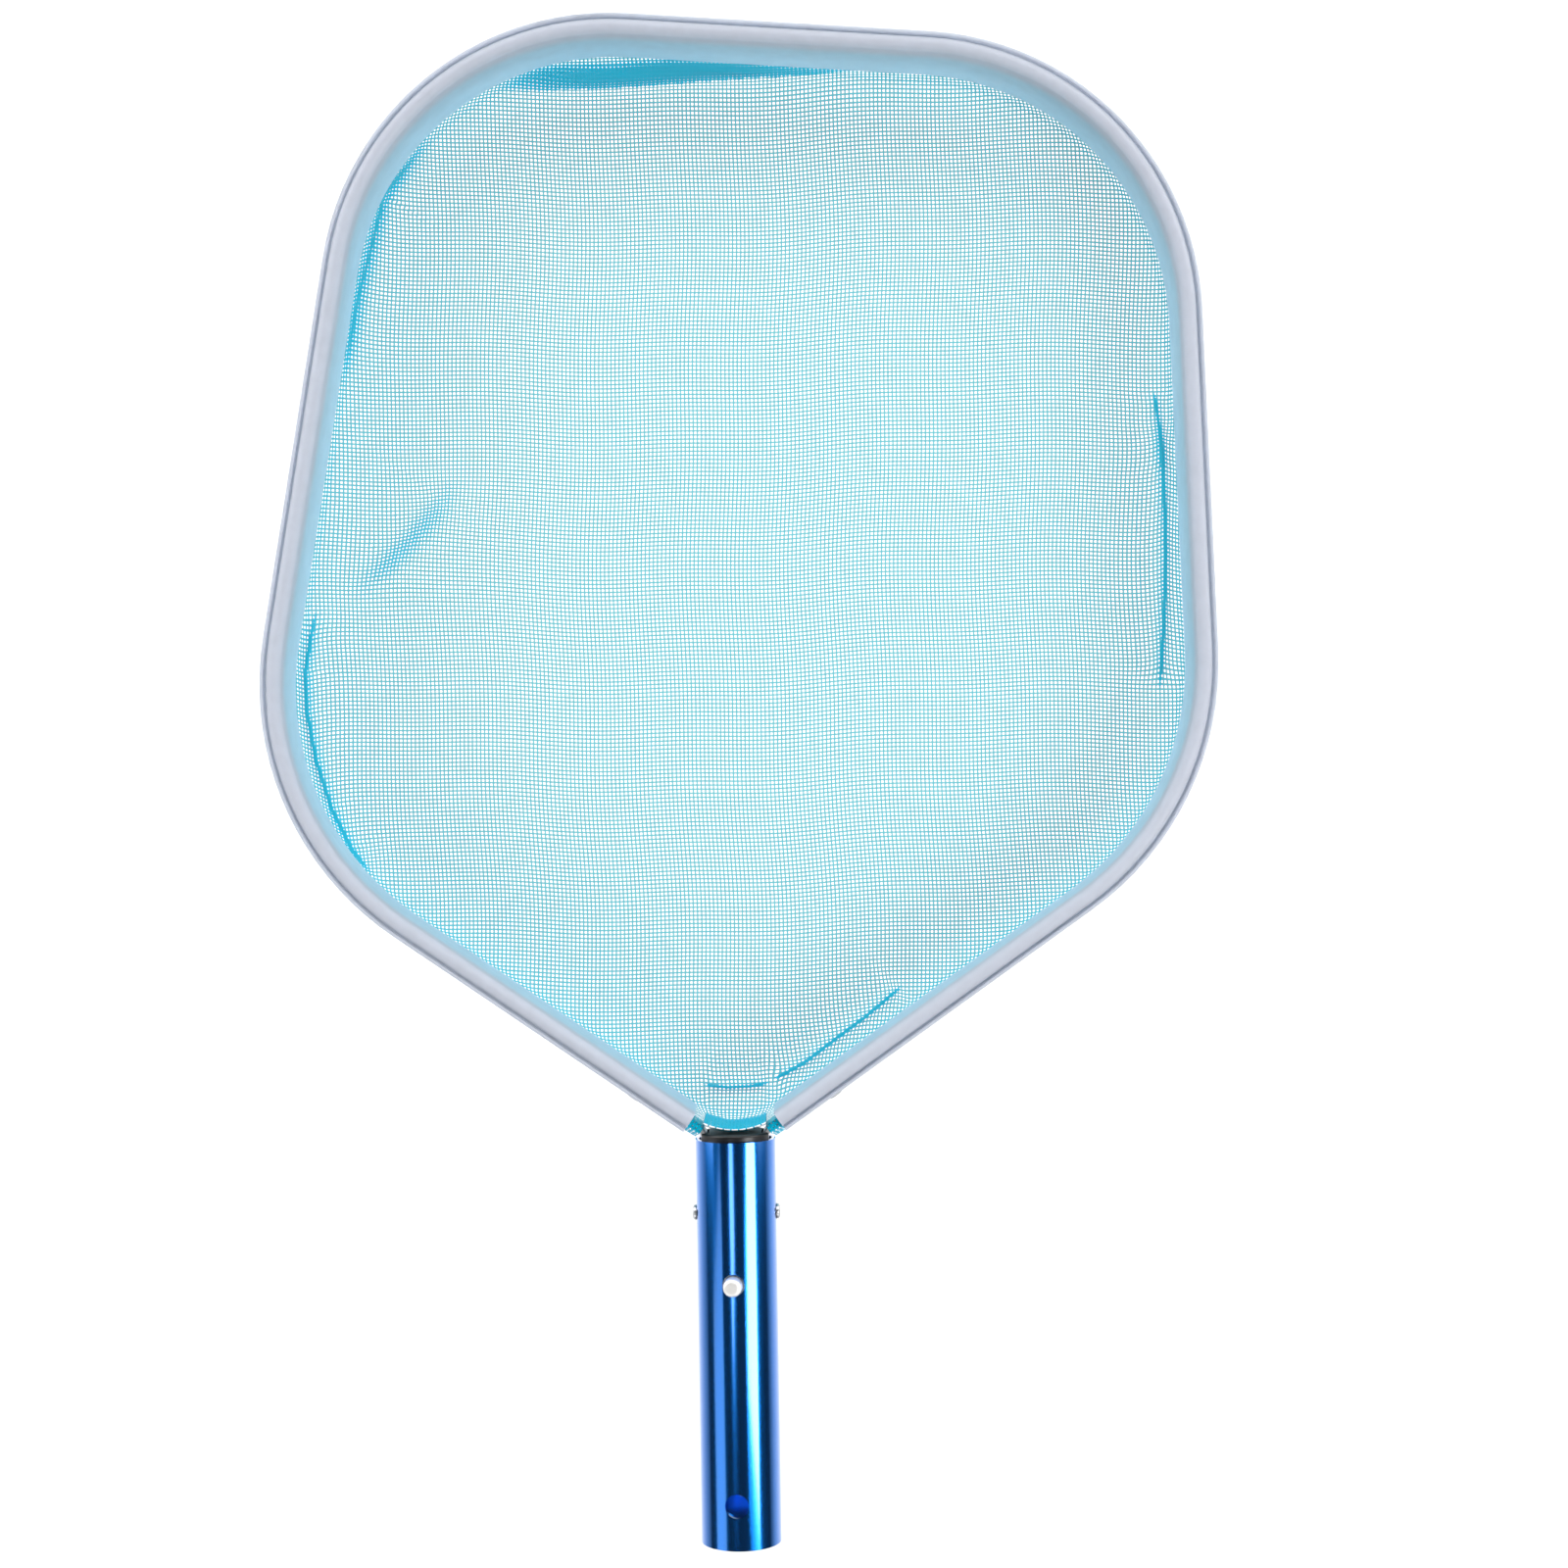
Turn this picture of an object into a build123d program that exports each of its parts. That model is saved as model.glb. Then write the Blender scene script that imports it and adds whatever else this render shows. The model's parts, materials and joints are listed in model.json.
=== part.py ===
from build123d import *
import os
from math import atan2, cos, degrees, hypot, radians, sin, sqrt, tan

# Leaf skimmer head for a telescopic pool pole.
# Frame: the origin is the centre of the handle's open pole end, on the handle's axis.
# +Y runs along the handle to the hoop, +Z is up, out of the net's open side. Millimetres.

# ---- handle tube ---------------------------------------------------------------------------------
TUBE_OD = 28.6             # 1 1/8 in tube, slides into a 1 1/4 in telescopic pole
TUBE_WALL = 1.3
TUBE_LENGTH = 143.0        # the mouth, on the hoop's side, is at y = TUBE_LENGTH
CROSS_HOLE_ROLL = 5.0      # degrees that the cross holes lean from +Z towards -X
LOCK_HOLE_Y = 15.7         # spare pair of holes beside the pole end
LOCK_HOLE_R = 4.2
BUTTON_DEPTH = 49.9        # the buttons' holes, below the mouth
TUBE_RIVET_DEPTH = 26.2    # the rivets' holes, below the mouth

# ---- aluminium bar, bent into the hoop -----------------------------------------------------------
BAR_THICKNESS = 2.4
BAR_HEIGHT = 9.5
BAR_CORNER_R = 0.6
TAIL_CLEARANCE = 0.19      # from a tail's corners to the tube's bore
TAIL_PAST_RIVET = 6.8      # how far the tails reach past the rivets
BEND_RISE = 2.3            # corner of the bend at the mouth, above the mouth
BEND_R = 5.0
SHOULDER_HALF_WIDTH = 171.6
SHOULDER_RISE = 114.5      # the shoulders, above the mouth
SHOULDER_R = 104.0
TOP_HALF_WIDTH = 143.0
TOP_RISE = 277.2           # from the shoulder line to the top run
TOP_R = 99.0
HOOP_LEAN = 4.3            # degrees that the hoop above the shoulders is turned towards +X

# ---- PVC edge profile; u runs outwards from the skirt's inner face --------------------------------
SKIRT_THICKNESS = 1.4
NET_SPACE = 1.4            # between the skirt and the bar
BAR_CLEARANCE = 0.1        # between the bar and the outer wall
OUTER_WALL_THICKNESS = 2.0
PROFILE_START = 6.8        # from the bend's corner to the profile's cut end
SKIRT_BOTTOM = -20.5
WEB_CLEARANCE = 0.55       # between the bar and the web above it
WEB_THICKNESS = 1.9
BEAD_R = 2.6
BEAD_RISE = 2.7            # the bead's middle, above the web's underside
CHANNEL_R = 1.5            # round channel in the bead, for the net's corded edge
SLIT_WIDTH = 1.0
LIP_THICKNESS = 1.2
LIP_RISE = 3.9             # the lip's top, above the web's underside
HOOK_CLEARANCE = 0.45
HOOK_THICKNESS = 1.4
HOOK_REACH = 2.9

# ---- net -----------------------------------------------------------------------------------------
NET_THICKNESS = 0.6
NET_DROP = 0.9             # how far the net's wall reaches below the skirt
NET_DEPTH = 10.2           # from there to the floor's underside
NET_TURN_INSET = 9.0       # plan width of the sloping turn between wall and floor
NET_PLUG_GAP = 0.3         # between the plug and the net's wall at the mouth
HEM_GAP = 0.15
HEM_END_GAP = 1.4          # between the hem and the profile's cut ends
HEM_RISE = 0.4             # the hem's top, above the net's
HEM_BOTTOM_MARGIN = 0.5    # the hem's bottom, above the skirt's
CORD_R = 1.1
CORD_NET_GAP = 0.1
STITCH_R = 0.25
STITCH_LENGTH = 2.2
STITCH_PITCH = 3.0

# ---- mouth plug ----------------------------------------------------------------------------------
PLUG_CLEARANCE = 0.15
PLUG_DEPTH = 18.0
PLUG_EDGE_R = 0.8
SLOT_CLEARANCE = 0.1

# ---- snap buttons and their spring ---------------------------------------------------------------
BUTTON_R = 3.25            # 1/4 in snap button
BUTTON_HOLE_CLEARANCE = 0.6
BUTTON_PROTRUSION = 5.0
BUTTON_DOME_R = 1.6
FLANGE_R = 4.1
FLANGE_THICKNESS = 0.6
FLANGE_CLEARANCE = 0.13    # from the flange's rim to the tube's bore
STRIP_THICKNESS = 0.6
STRIP_WIDTH = 8.0
SEAT_HALF_LENGTH = 5.5
STEM_R = 1.6
STEM_CLEARANCE = 0.06
FOOT_R = 2.5
FOOT_THICKNESS = 0.8
LEG_LENGTH = 26.9          # from the buttons to the spring's apex
APEX_HALF_GAP = 4.5
APEX_R = 2.9
SEAT_BEND_R = 6.0

# ---- blind rivets --------------------------------------------------------------------------------
RIVET_R = 1.6
RIVET_CLEARANCE = 0.05     # round the shank, and round the mandrel
RIVET_HEAD_R = 2.8
RIVET_HEAD_HEIGHT = 1.2
RIVET_DOME_R = 0.9
MANDREL_R = 0.9
MANDREL_RECESS = 0.35      # the broken mandrel ends this far inside the rivet's head
TUBE_BULGE_R = 2.3
TUBE_BULGE_LENGTH = 1.8
MANDREL_HEAD_R = 1.5
MANDREL_HEAD_LENGTH = 1.2
FRAME_RIVET_MARGIN = 21.2  # from the profile's cut end
FRAME_BULGE_R = 2.2
FRAME_BULGE_CLEARANCE = 0.1
NET_PIERCE_CLEARANCE = 0.4

# ---- derived -------------------------------------------------------------------------------------
TUBE_R = TUBE_OD / 2
BORE_R = TUBE_R - TUBE_WALL
MOUTH_Y = TUBE_LENGTH
BUTTON_Y = MOUTH_Y - BUTTON_DEPTH
TUBE_RIVET_Y = MOUTH_Y - TUBE_RIVET_DEPTH
BUTTON_HOLE_R = BUTTON_R + BUTTON_HOLE_CLEARANCE
RIVET_HOLE_R = RIVET_R + RIVET_CLEARANCE
RIVET_BORE_R = MANDREL_R + RIVET_CLEARANCE
ROLL = Rot(0, -CROSS_HOLE_ROLL, 0)

TAIL_OUTER_X = sqrt((BORE_R - TAIL_CLEARANCE) ** 2 - (BAR_HEIGHT / 2) ** 2)
TAIL_X = TAIL_OUTER_X - BAR_THICKNESS / 2
TAIL_INNER_X = TAIL_OUTER_X - BAR_THICKNESS
TAIL_END_Y = TUBE_RIVET_Y - TAIL_PAST_RIVET
BEND_Y = MOUTH_Y + BEND_RISE
SHOULDER_Y = MOUTH_Y + SHOULDER_RISE
SLANT = atan2(SHOULDER_Y - BEND_Y, SHOULDER_HALF_WIDTH - TAIL_X)
FOOT_Y = BEND_Y - TAIL_X * tan(SLANT)   # where the two slants would meet on the axis

BAR_INNER_U = SKIRT_THICKNESS + NET_SPACE
BAR_U = BAR_INNER_U + BAR_THICKNESS / 2
OUTER_WALL_U = BAR_U + BAR_THICKNESS / 2 + BAR_CLEARANCE
PROFILE_WIDTH = OUTER_WALL_U + OUTER_WALL_THICKNESS
WEB_BOTTOM = BAR_HEIGHT / 2 + WEB_CLEARANCE
WEB_TOP = WEB_BOTTOM + WEB_THICKNESS
BEAD_Z = WEB_BOTTOM + BEAD_RISE
LIP_TOP = WEB_BOTTOM + LIP_RISE
HOOK_TOP = -BAR_HEIGHT / 2 - HOOK_CLEARANCE
HOOK_BOTTOM = HOOK_TOP - HOOK_THICKNESS

NET_INSET = BAR_THICKNESS / 2 + NET_SPACE / 2   # middle of the net's wall, from the bar's middle
NET_OUTER_INSET = NET_INSET - NET_THICKNESS / 2
NET_INNER_INSET = NET_INSET + NET_THICKNESS / 2
NET_TOP = BEAD_Z - CORD_R - CORD_NET_GAP
NET_WALL_BOTTOM = SKIRT_BOTTOM - NET_DROP
NET_FLOOR = NET_WALL_BOTTOM - NET_DEPTH
MOUTH_R = (TAIL_X / cos(SLANT) + PROFILE_START) / tan(SLANT)   # its arc ends at the cut ends
NET_LOW_Y = FOOT_Y + MOUTH_R * (1 / cos(SLANT) - 1) + NET_OUTER_INSET
PLUG_RISE = NET_LOW_Y - NET_PLUG_GAP - MOUTH_Y
HEM_INSET = NET_INNER_INSET + HEM_GAP
HEM_HALF_WIDTH = TAIL_X + PROFILE_START * cos(SLANT) - BAR_U * sin(SLANT) - HEM_END_GAP
HEM_TOP = NET_TOP + HEM_RISE
HEM_BOTTOM = SKIRT_BOTTOM + HEM_BOTTOM_MARGIN
STITCH_COUNT = int(2 * HEM_HALF_WIDTH / STITCH_PITCH) + 1

BUTTON_TIP = TUBE_R + BUTTON_PROTRUSION
FLANGE_TOP = sqrt((BORE_R - FLANGE_CLEARANCE) ** 2 - FLANGE_R**2)
SEAT_Z = FLANGE_TOP - FLANGE_THICKNESS          # outer face of the strip under a button
APEX_Y = BUTTON_Y + LEG_LENGTH
FRAME_RIVET_START = PROFILE_START + FRAME_RIVET_MARGIN
FRAME_BULGE_LENGTH = NET_SPACE - FRAME_BULGE_CLEARANCE
NET_PIERCE_R = FRAME_BULGE_R + NET_PIERCE_CLEARANCE


def slant_point(distance, side):
    """Point on the bar's middle line, a distance up the slant from the bend; side is -1 or 1."""
    x = TAIL_X + distance * cos(SLANT)
    y = BEND_Y + distance * sin(SLANT)
    return (side * x, y)


def top_corners():
    """The hoop's left and right top corners before rounding, with the lean."""
    lean = radians(HOOP_LEAN)
    middle_x = TOP_RISE * sin(lean)
    middle_y = SHOULDER_Y + TOP_RISE * cos(lean)
    across_x = TOP_HALF_WIDTH * cos(lean)
    across_y = -TOP_HALF_WIDTH * sin(lean)
    left = (middle_x - across_x, middle_y - across_y)
    right = (middle_x + across_x, middle_y + across_y)
    return left, right


def hoop_line(start):
    """Middle line of the bar from the left slant round to the right slant."""
    top_left, top_right = top_corners()
    points = [
        slant_point(start, -1),
        (-SHOULDER_HALF_WIDTH, SHOULDER_Y),
        top_left,
        top_right,
        (SHOULDER_HALF_WIDTH, SHOULDER_Y),
        slant_point(start, 1),
    ]
    return FilletPolyline(*points, radius=[SHOULDER_R, TOP_R, TOP_R, SHOULDER_R])


def bar_line():
    """Middle line of the whole bar, with both tails inside the tube."""
    top_left, top_right = top_corners()
    points = [
        (-TAIL_X, TAIL_END_Y),
        (-TAIL_X, BEND_Y),
        (-SHOULDER_HALF_WIDTH, SHOULDER_Y),
        top_left,
        top_right,
        (SHOULDER_HALF_WIDTH, SHOULDER_Y),
        (TAIL_X, BEND_Y),
        (TAIL_X, TAIL_END_Y),
    ]
    radii = [BEND_R, SHOULDER_R, TOP_R, TOP_R, SHOULDER_R, BEND_R]
    return FilletPolyline(*points, radius=radii)


def inset_corner(before, corner, after, inset):
    """A corner of a polygon that runs anticlockwise, moved inwards with both its sides."""
    normals = []
    for start, end in ((before, corner), (corner, after)):
        length = hypot(end[0] - start[0], end[1] - start[1])
        normals.append(((start[1] - end[1]) / length, (end[0] - start[0]) / length))
    (ax, ay), (bx, by) = normals
    scale = inset / (1 + ax * bx + ay * by)
    return (corner[0] + (ax + bx) * scale, corner[1] + (ay + by) * scale)


def net_outline(inset):
    """Face inside the closed outline of the net, inset from the bar's middle line."""
    top_left, top_right = top_corners()
    corners = [
        (0.0, FOOT_Y),
        (SHOULDER_HALF_WIDTH, SHOULDER_Y),
        top_right,
        top_left,
        (-SHOULDER_HALF_WIDTH, SHOULDER_Y),
    ]
    moved = [
        inset_corner(corners[i - 1], corners[i], corners[(i + 1) % len(corners)], inset)
        for i in range(len(corners))
    ]
    radii = [r - inset for r in (MOUTH_R, SHOULDER_R, TOP_R, TOP_R, SHOULDER_R)]
    return make_face(FilletPolyline(*moved, radius=radii, close=True))


def section_plane(line):
    """Plane across a line at its start: x is outwards from the hoop, y is up."""
    along = line % 0
    outwards = Vector(0, 0, 1).cross(along)
    return Plane(origin=line @ 0, x_dir=outwards, z_dir=along)


def strip(u0, u1, z0, z1):
    """Rectangle in the profile's section, from u0 to u1 and from z0 to z1."""
    return Pos((u0 + u1) / 2 - BAR_U, (z0 + z1) / 2) * Rectangle(u1 - u0, z1 - z0)


def disc(u, z, radius):
    """Circle in the profile's section."""
    return Pos(u - BAR_U, z) * Circle(radius)


def handle_tube():
    """Straight tube with two pairs of cross holes and two rivet holes."""
    tube = Cylinder(TUBE_R, TUBE_LENGTH) - Cylinder(BORE_R, TUBE_LENGTH)
    tube = Pos(0, TUBE_LENGTH / 2, 0) * Rot(90, 0, 0) * tube
    for y, radius in ((LOCK_HOLE_Y, LOCK_HOLE_R), (BUTTON_Y, BUTTON_HOLE_R)):
        tube -= ROLL * Pos(0, y, 0) * Cylinder(radius, 2 * TUBE_OD)
    tube -= Pos(0, TUBE_RIVET_Y, 0) * Rot(0, 90, 0) * Cylinder(RIVET_HOLE_R, 2 * TUBE_OD)
    return tube


def mouth_plug():
    """Round plug with a slot at each side for the bar's tails."""
    length = PLUG_DEPTH + PLUG_RISE
    plug = Cylinder(BORE_R - PLUG_CLEARANCE, length)
    plug = fillet(plug.edges().sort_by(Axis.Z)[-1], PLUG_EDGE_R)
    plug = Pos(0, MOUTH_Y + PLUG_RISE - length / 2, 0) * Rot(-90, 0, 0) * plug
    slot_inner = TAIL_INNER_X - SLOT_CLEARANCE
    slot = Box(TUBE_R, 2 * length, BAR_HEIGHT + 2 * SLOT_CLEARANCE)
    for side in (-1, 1):
        plug -= Pos(side * (slot_inner + TUBE_R / 2), MOUTH_Y, 0) * slot
    return plug


def frame_bar():
    """Flat bar on edge, bent into the hoop, with its rivet holes."""
    line = bar_line()
    section = RectangleRounded(BAR_THICKNESS, BAR_HEIGHT, BAR_CORNER_R)
    bar = sweep(sections=section_plane(line) * section, path=line)
    bar -= Pos(0, TUBE_RIVET_Y, 0) * Rot(0, 90, 0) * Cylinder(RIVET_HOLE_R, TUBE_OD)
    for side in (-1, 1):
        bar -= frame_rivet_plane(side) * Cylinder(RIVET_HOLE_R, 2 * PROFILE_WIDTH)
    return bar


def profile_section():
    """Bead with a channel and a slit, a groove, a lip, an outer wall with a hook, and a skirt."""
    skirt_r = SKIRT_THICKNESS / 2
    lip_r = LIP_THICKNESS / 2
    lip_u = PROFILE_WIDTH - lip_r
    section = strip(0, SKIRT_THICKNESS, SKIRT_BOTTOM + skirt_r, BEAD_Z)
    section += disc(skirt_r, SKIRT_BOTTOM + skirt_r, skirt_r)
    section += disc(BEAD_R, BEAD_Z, BEAD_R)
    section += strip(0, 2 * BEAD_R, WEB_BOTTOM, BEAD_Z)
    section += strip(0, PROFILE_WIDTH, WEB_BOTTOM, WEB_TOP)
    section += strip(PROFILE_WIDTH - LIP_THICKNESS, PROFILE_WIDTH, WEB_BOTTOM, LIP_TOP - lip_r)
    section += disc(lip_u, LIP_TOP - lip_r, lip_r)
    section += strip(OUTER_WALL_U, PROFILE_WIDTH, HOOK_BOTTOM, WEB_BOTTOM)
    section += strip(PROFILE_WIDTH - HOOK_REACH, PROFILE_WIDTH, HOOK_BOTTOM, HOOK_TOP)
    section -= disc(BEAD_R, BEAD_Z, CHANNEL_R)
    slit_u = BAR_U - NET_INSET
    section -= strip(slit_u - SLIT_WIDTH / 2, slit_u + SLIT_WIDTH / 2, WEB_BOTTOM, BEAD_Z)
    return section


def edge_profile():
    """Extruded PVC edge over the bar, with holes in its outer wall for the frame rivets."""
    line = hoop_line(PROFILE_START)
    profile = sweep(sections=section_plane(line) * profile_section(), path=line)
    for side in (-1, 1):
        through = Pos(0, 0, PROFILE_WIDTH / 2) * Cylinder(RIVET_HOLE_R, PROFILE_WIDTH)
        profile -= frame_rivet_plane(side) * through
    return profile


def edge_cord():
    """Cord in the bead's channel that locks the net's edge."""
    line = hoop_line(PROFILE_START)
    return sweep(sections=section_plane(line) * disc(BEAD_R, BEAD_Z, CORD_R), path=line)


def net_volume(inset, turn_z, floor_z):
    """Solid down from the net's top edge: straight walls, then a sloping turn to a flat floor."""
    walls = extrude(Pos(0, 0, turn_z) * net_outline(inset), NET_TOP - turn_z, dir=(0, 0, 1))
    upper = Pos(0, 0, turn_z) * net_outline(inset)
    lower = Pos(0, 0, floor_z) * net_outline(inset + NET_TURN_INSET)
    return walls + loft([lower, upper], ruled=True)


def net():
    """Shallow bag of mesh, open at the top, pierced where the frame rivets pass."""
    outside = net_volume(NET_OUTER_INSET, NET_WALL_BOTTOM, NET_FLOOR)
    inner_turn = NET_WALL_BOTTOM + NET_THICKNESS / 2
    inside = net_volume(NET_INNER_INSET, inner_turn, NET_FLOOR + NET_THICKNESS)
    bag = outside - inside
    for side in (-1, 1):
        bag -= frame_rivet_plane(side) * Cylinder(NET_PIERCE_R, 2 * PROFILE_WIDTH)
    return bag


def net_hem():
    """Doubled band of mesh against the net's wall, across the gap between the profile's ends."""
    band = net_outline(HEM_INSET) - net_outline(HEM_INSET + NET_THICKNESS)
    near_mouth = Pos(0, MOUTH_Y) * Rectangle(2 * HEM_HALF_WIDTH, 2 * HEM_HALF_WIDTH)
    band = Pos(0, 0, HEM_BOTTOM) * (band & near_mouth)
    return extrude(band, HEM_TOP - HEM_BOTTOM, dir=(0, 0, 1))


def hem_stitches():
    """Row of thread stitches along the hem's top edge."""
    radius = MOUTH_R - HEM_INSET
    centre_y = FOOT_Y + MOUTH_R / cos(SLANT)
    stitch = fillet(Cylinder(STITCH_R, STITCH_LENGTH).edges(), STITCH_R * 0.9)
    lying = Pos(0, -radius, HEM_TOP + STITCH_R) * Rot(0, 90, 0) * stitch
    step = degrees(STITCH_PITCH / radius)
    first = -step * (STITCH_COUNT - 1) / 2
    placed = [
        Pos(0, centre_y, 0) * Rot(0, 0, first + i * step) * lying for i in range(STITCH_COUNT)
    ]
    return Compound(children=[part.solid() for part in placed])


def snap_button(side):
    """Domed button with a flange under the tube's wall and a foot under the spring; side is 1 or -1."""
    strip_inner = SEAT_Z - STRIP_THICKNESS
    head = Cylinder(BUTTON_R, BUTTON_TIP - SEAT_Z, align=(Align.CENTER, Align.CENTER, Align.MIN))
    head = fillet(head.edges().sort_by(Axis.Z)[-1], BUTTON_DOME_R)
    button = Pos(0, 0, SEAT_Z) * head
    for radius, low, high in (
        (FLANGE_R, SEAT_Z, FLANGE_TOP),
        (STEM_R, strip_inner, SEAT_Z),
        (FOOT_R, strip_inner - FOOT_THICKNESS, strip_inner),
    ):
        button += Pos(0, 0, (low + high) / 2) * Cylinder(radius, high - low)
    turn = Rot(0, 0, 0) if side > 0 else Rot(0, 180, 0)
    return ROLL * Pos(0, BUTTON_Y, 0) * turn * button


def clip_spring():
    """Bent strip inside the tube: two flat seats, two legs and a round apex towards the mouth."""
    seat_z = SEAT_Z - STRIP_THICKNESS / 2
    seat_end = BUTTON_Y - SEAT_HALF_LENGTH
    seat_bend = BUTTON_Y + SEAT_HALF_LENGTH
    points = [
        (0, seat_end, seat_z),
        (0, seat_bend, seat_z),
        (0, APEX_Y, APEX_HALF_GAP),
        (0, APEX_Y, -APEX_HALF_GAP),
        (0, seat_bend, -seat_z),
        (0, seat_end, -seat_z),
    ]
    line = FilletPolyline(*points, radius=[SEAT_BEND_R, APEX_R, APEX_R, SEAT_BEND_R])
    across = Plane(origin=line @ 0, x_dir=(1, 0, 0), z_dir=line % 0)
    spring = sweep(sections=across * Rectangle(STRIP_WIDTH, STRIP_THICKNESS), path=line)
    spring -= Pos(0, BUTTON_Y, 0) * Cylinder(STEM_R + STEM_CLEARANCE, TUBE_OD)
    return ROLL * spring


def tube_rivet_plane(side):
    """Plane on the tube's side at a rivet, facing outwards."""
    return Plane(origin=(side * TUBE_R, TUBE_RIVET_Y, 0), x_dir=(0, 1, 0), z_dir=(side, 0, 0))


def frame_rivet_plane(side):
    """Plane through the bar's middle at a frame rivet, facing outwards from the hoop."""
    x, y = slant_point(FRAME_RIVET_START, side)
    outwards = (side * sin(SLANT), -cos(SLANT), 0)
    return Plane(origin=(x, y, 0), x_dir=(0, 0, 1), z_dir=outwards)


def rivet_body(grip, bulge_r, bulge_length):
    """Hollow rivet: domed head on z = 0, shank through the grip, set bulge behind it."""
    up = (Align.CENTER, Align.CENTER, Align.MIN)
    down = (Align.CENTER, Align.CENTER, Align.MAX)
    head = Cylinder(RIVET_HEAD_R, RIVET_HEAD_HEIGHT, align=up)
    head = fillet(head.edges().sort_by(Axis.Z)[-1], RIVET_DOME_R)
    body = head + Cylinder(RIVET_R, grip, align=down)
    body += Pos(0, 0, -grip) * Cylinder(bulge_r, bulge_length, align=down)
    return body - Cylinder(RIVET_BORE_R, 4 * (grip + bulge_length))


def rivet_mandrel(length, head_r, head_length):
    """Broken steel mandrel: stem inside the rivet, and its head behind the bulge if it has one."""
    down = (Align.CENTER, Align.CENTER, Align.MAX)
    top = RIVET_HEAD_HEIGHT - MANDREL_RECESS
    mandrel = Pos(0, 0, top) * Cylinder(MANDREL_R, top + length, align=down)
    if head_length:
        mandrel += Pos(0, 0, -length) * Cylinder(head_r, head_length, align=down)
    return mandrel


def tube_rivet(side):
    """Blind rivet through the tube's wall and a tail."""
    grip = TUBE_R - TAIL_INNER_X
    return tube_rivet_plane(side) * rivet_body(grip, TUBE_BULGE_R, TUBE_BULGE_LENGTH)


def tube_mandrel(side):
    """Mandrel left in a tube rivet."""
    length = TUBE_R - TAIL_INNER_X + TUBE_BULGE_LENGTH
    return tube_rivet_plane(side) * rivet_mandrel(length, MANDREL_HEAD_R, MANDREL_HEAD_LENGTH)


def frame_rivet(side):
    """Blind rivet through the profile's outer wall and the bar."""
    grip = PROFILE_WIDTH - BAR_INNER_U
    head_plane = frame_rivet_plane(side) * Pos(0, 0, PROFILE_WIDTH - BAR_U)
    return head_plane * rivet_body(grip, FRAME_BULGE_R, FRAME_BULGE_LENGTH)


def frame_mandrel(side):
    """Mandrel left in a frame rivet, broken off flush."""
    length = PROFILE_WIDTH - BAR_INNER_U + FRAME_BULGE_LENGTH
    head_plane = frame_rivet_plane(side) * Pos(0, 0, PROFILE_WIDTH - BAR_U)
    return head_plane * rivet_mandrel(length, 0, 0)


def all_parts():
    """Every node's name and solid."""
    parts = {
        "handle_tube": handle_tube(),
        "mouth_plug": mouth_plug(),
        "frame_bar": frame_bar(),
        "edge_profile": edge_profile(),
        "edge_cord": edge_cord(),
        "net": net(),
        "net_hem": net_hem(),
        "hem_stitches": hem_stitches(),
        "clip_spring": clip_spring(),
        "snap_button_front": snap_button(1),
        "snap_button_back": snap_button(-1),
    }
    for name, side in (("left", -1), ("right", 1)):
        parts[f"tube_rivet_{name}"] = tube_rivet(side)
        parts[f"tube_mandrel_{name}"] = tube_mandrel(side)
        parts[f"frame_rivet_{name}"] = frame_rivet(side)
        parts[f"frame_mandrel_{name}"] = frame_mandrel(side)
    return parts


os.makedirs("parts", exist_ok=True)
for node, shape in all_parts().items():
    export_step(shape, f"parts/{node}.step")
    print(f"{node}: {shape.volume:.1f} mm3")
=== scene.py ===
"""Looks of a leaf skimmer head: mesh net, aluminium hoop, PVC edge and tube handle."""

import json
import logging
from dataclasses import dataclass
from enum import Enum
from math import atan2, ceil, cos, pi, radians, sin, tan

import bpy
import numpy as np
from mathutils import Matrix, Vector


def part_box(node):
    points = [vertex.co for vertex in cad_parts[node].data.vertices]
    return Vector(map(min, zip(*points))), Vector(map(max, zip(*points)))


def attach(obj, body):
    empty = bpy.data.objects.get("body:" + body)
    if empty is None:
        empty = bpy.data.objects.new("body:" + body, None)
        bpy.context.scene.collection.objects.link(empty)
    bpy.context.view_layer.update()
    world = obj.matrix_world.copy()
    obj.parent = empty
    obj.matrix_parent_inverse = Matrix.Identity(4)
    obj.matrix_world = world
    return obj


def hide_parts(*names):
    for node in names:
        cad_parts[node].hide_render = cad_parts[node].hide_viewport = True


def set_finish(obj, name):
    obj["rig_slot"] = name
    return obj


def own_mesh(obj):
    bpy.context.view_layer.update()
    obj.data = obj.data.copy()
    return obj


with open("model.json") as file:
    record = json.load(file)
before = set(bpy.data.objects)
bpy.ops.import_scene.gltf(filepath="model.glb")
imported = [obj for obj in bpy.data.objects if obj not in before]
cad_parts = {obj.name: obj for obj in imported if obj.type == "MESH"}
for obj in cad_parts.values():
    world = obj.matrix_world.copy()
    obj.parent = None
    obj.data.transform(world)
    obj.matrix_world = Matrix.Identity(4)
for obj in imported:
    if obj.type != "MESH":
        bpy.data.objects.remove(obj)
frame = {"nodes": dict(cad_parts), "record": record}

LOG = logging.getLogger("scene")
MM = 0.001
HEAD = "head"
WEAVE_UV = "weave"
CROWD = "crowd"
FOLD = "fold"
SHARP = "sharp"
BUTTON_ROLL_DEG = 5.0
FAR_MM = 1e3

Tree = bpy.types.NodeTree
Node = bpy.types.ShaderNode
Socket = bpy.types.NodeSocket
Piece = bpy.types.Object
Array = np.ndarray
Triple = tuple[float, float, float]

ZERO = np.zeros((1, 1))
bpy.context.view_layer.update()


class Side(Enum):
    """A side of the handle, by the sign of x."""

    LEFT = -1
    RIGHT = 1


class Face(Enum):
    """A face of the handle that a snap button comes out of, by the sign of z."""

    FRONT = 1
    BACK = -1


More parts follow.
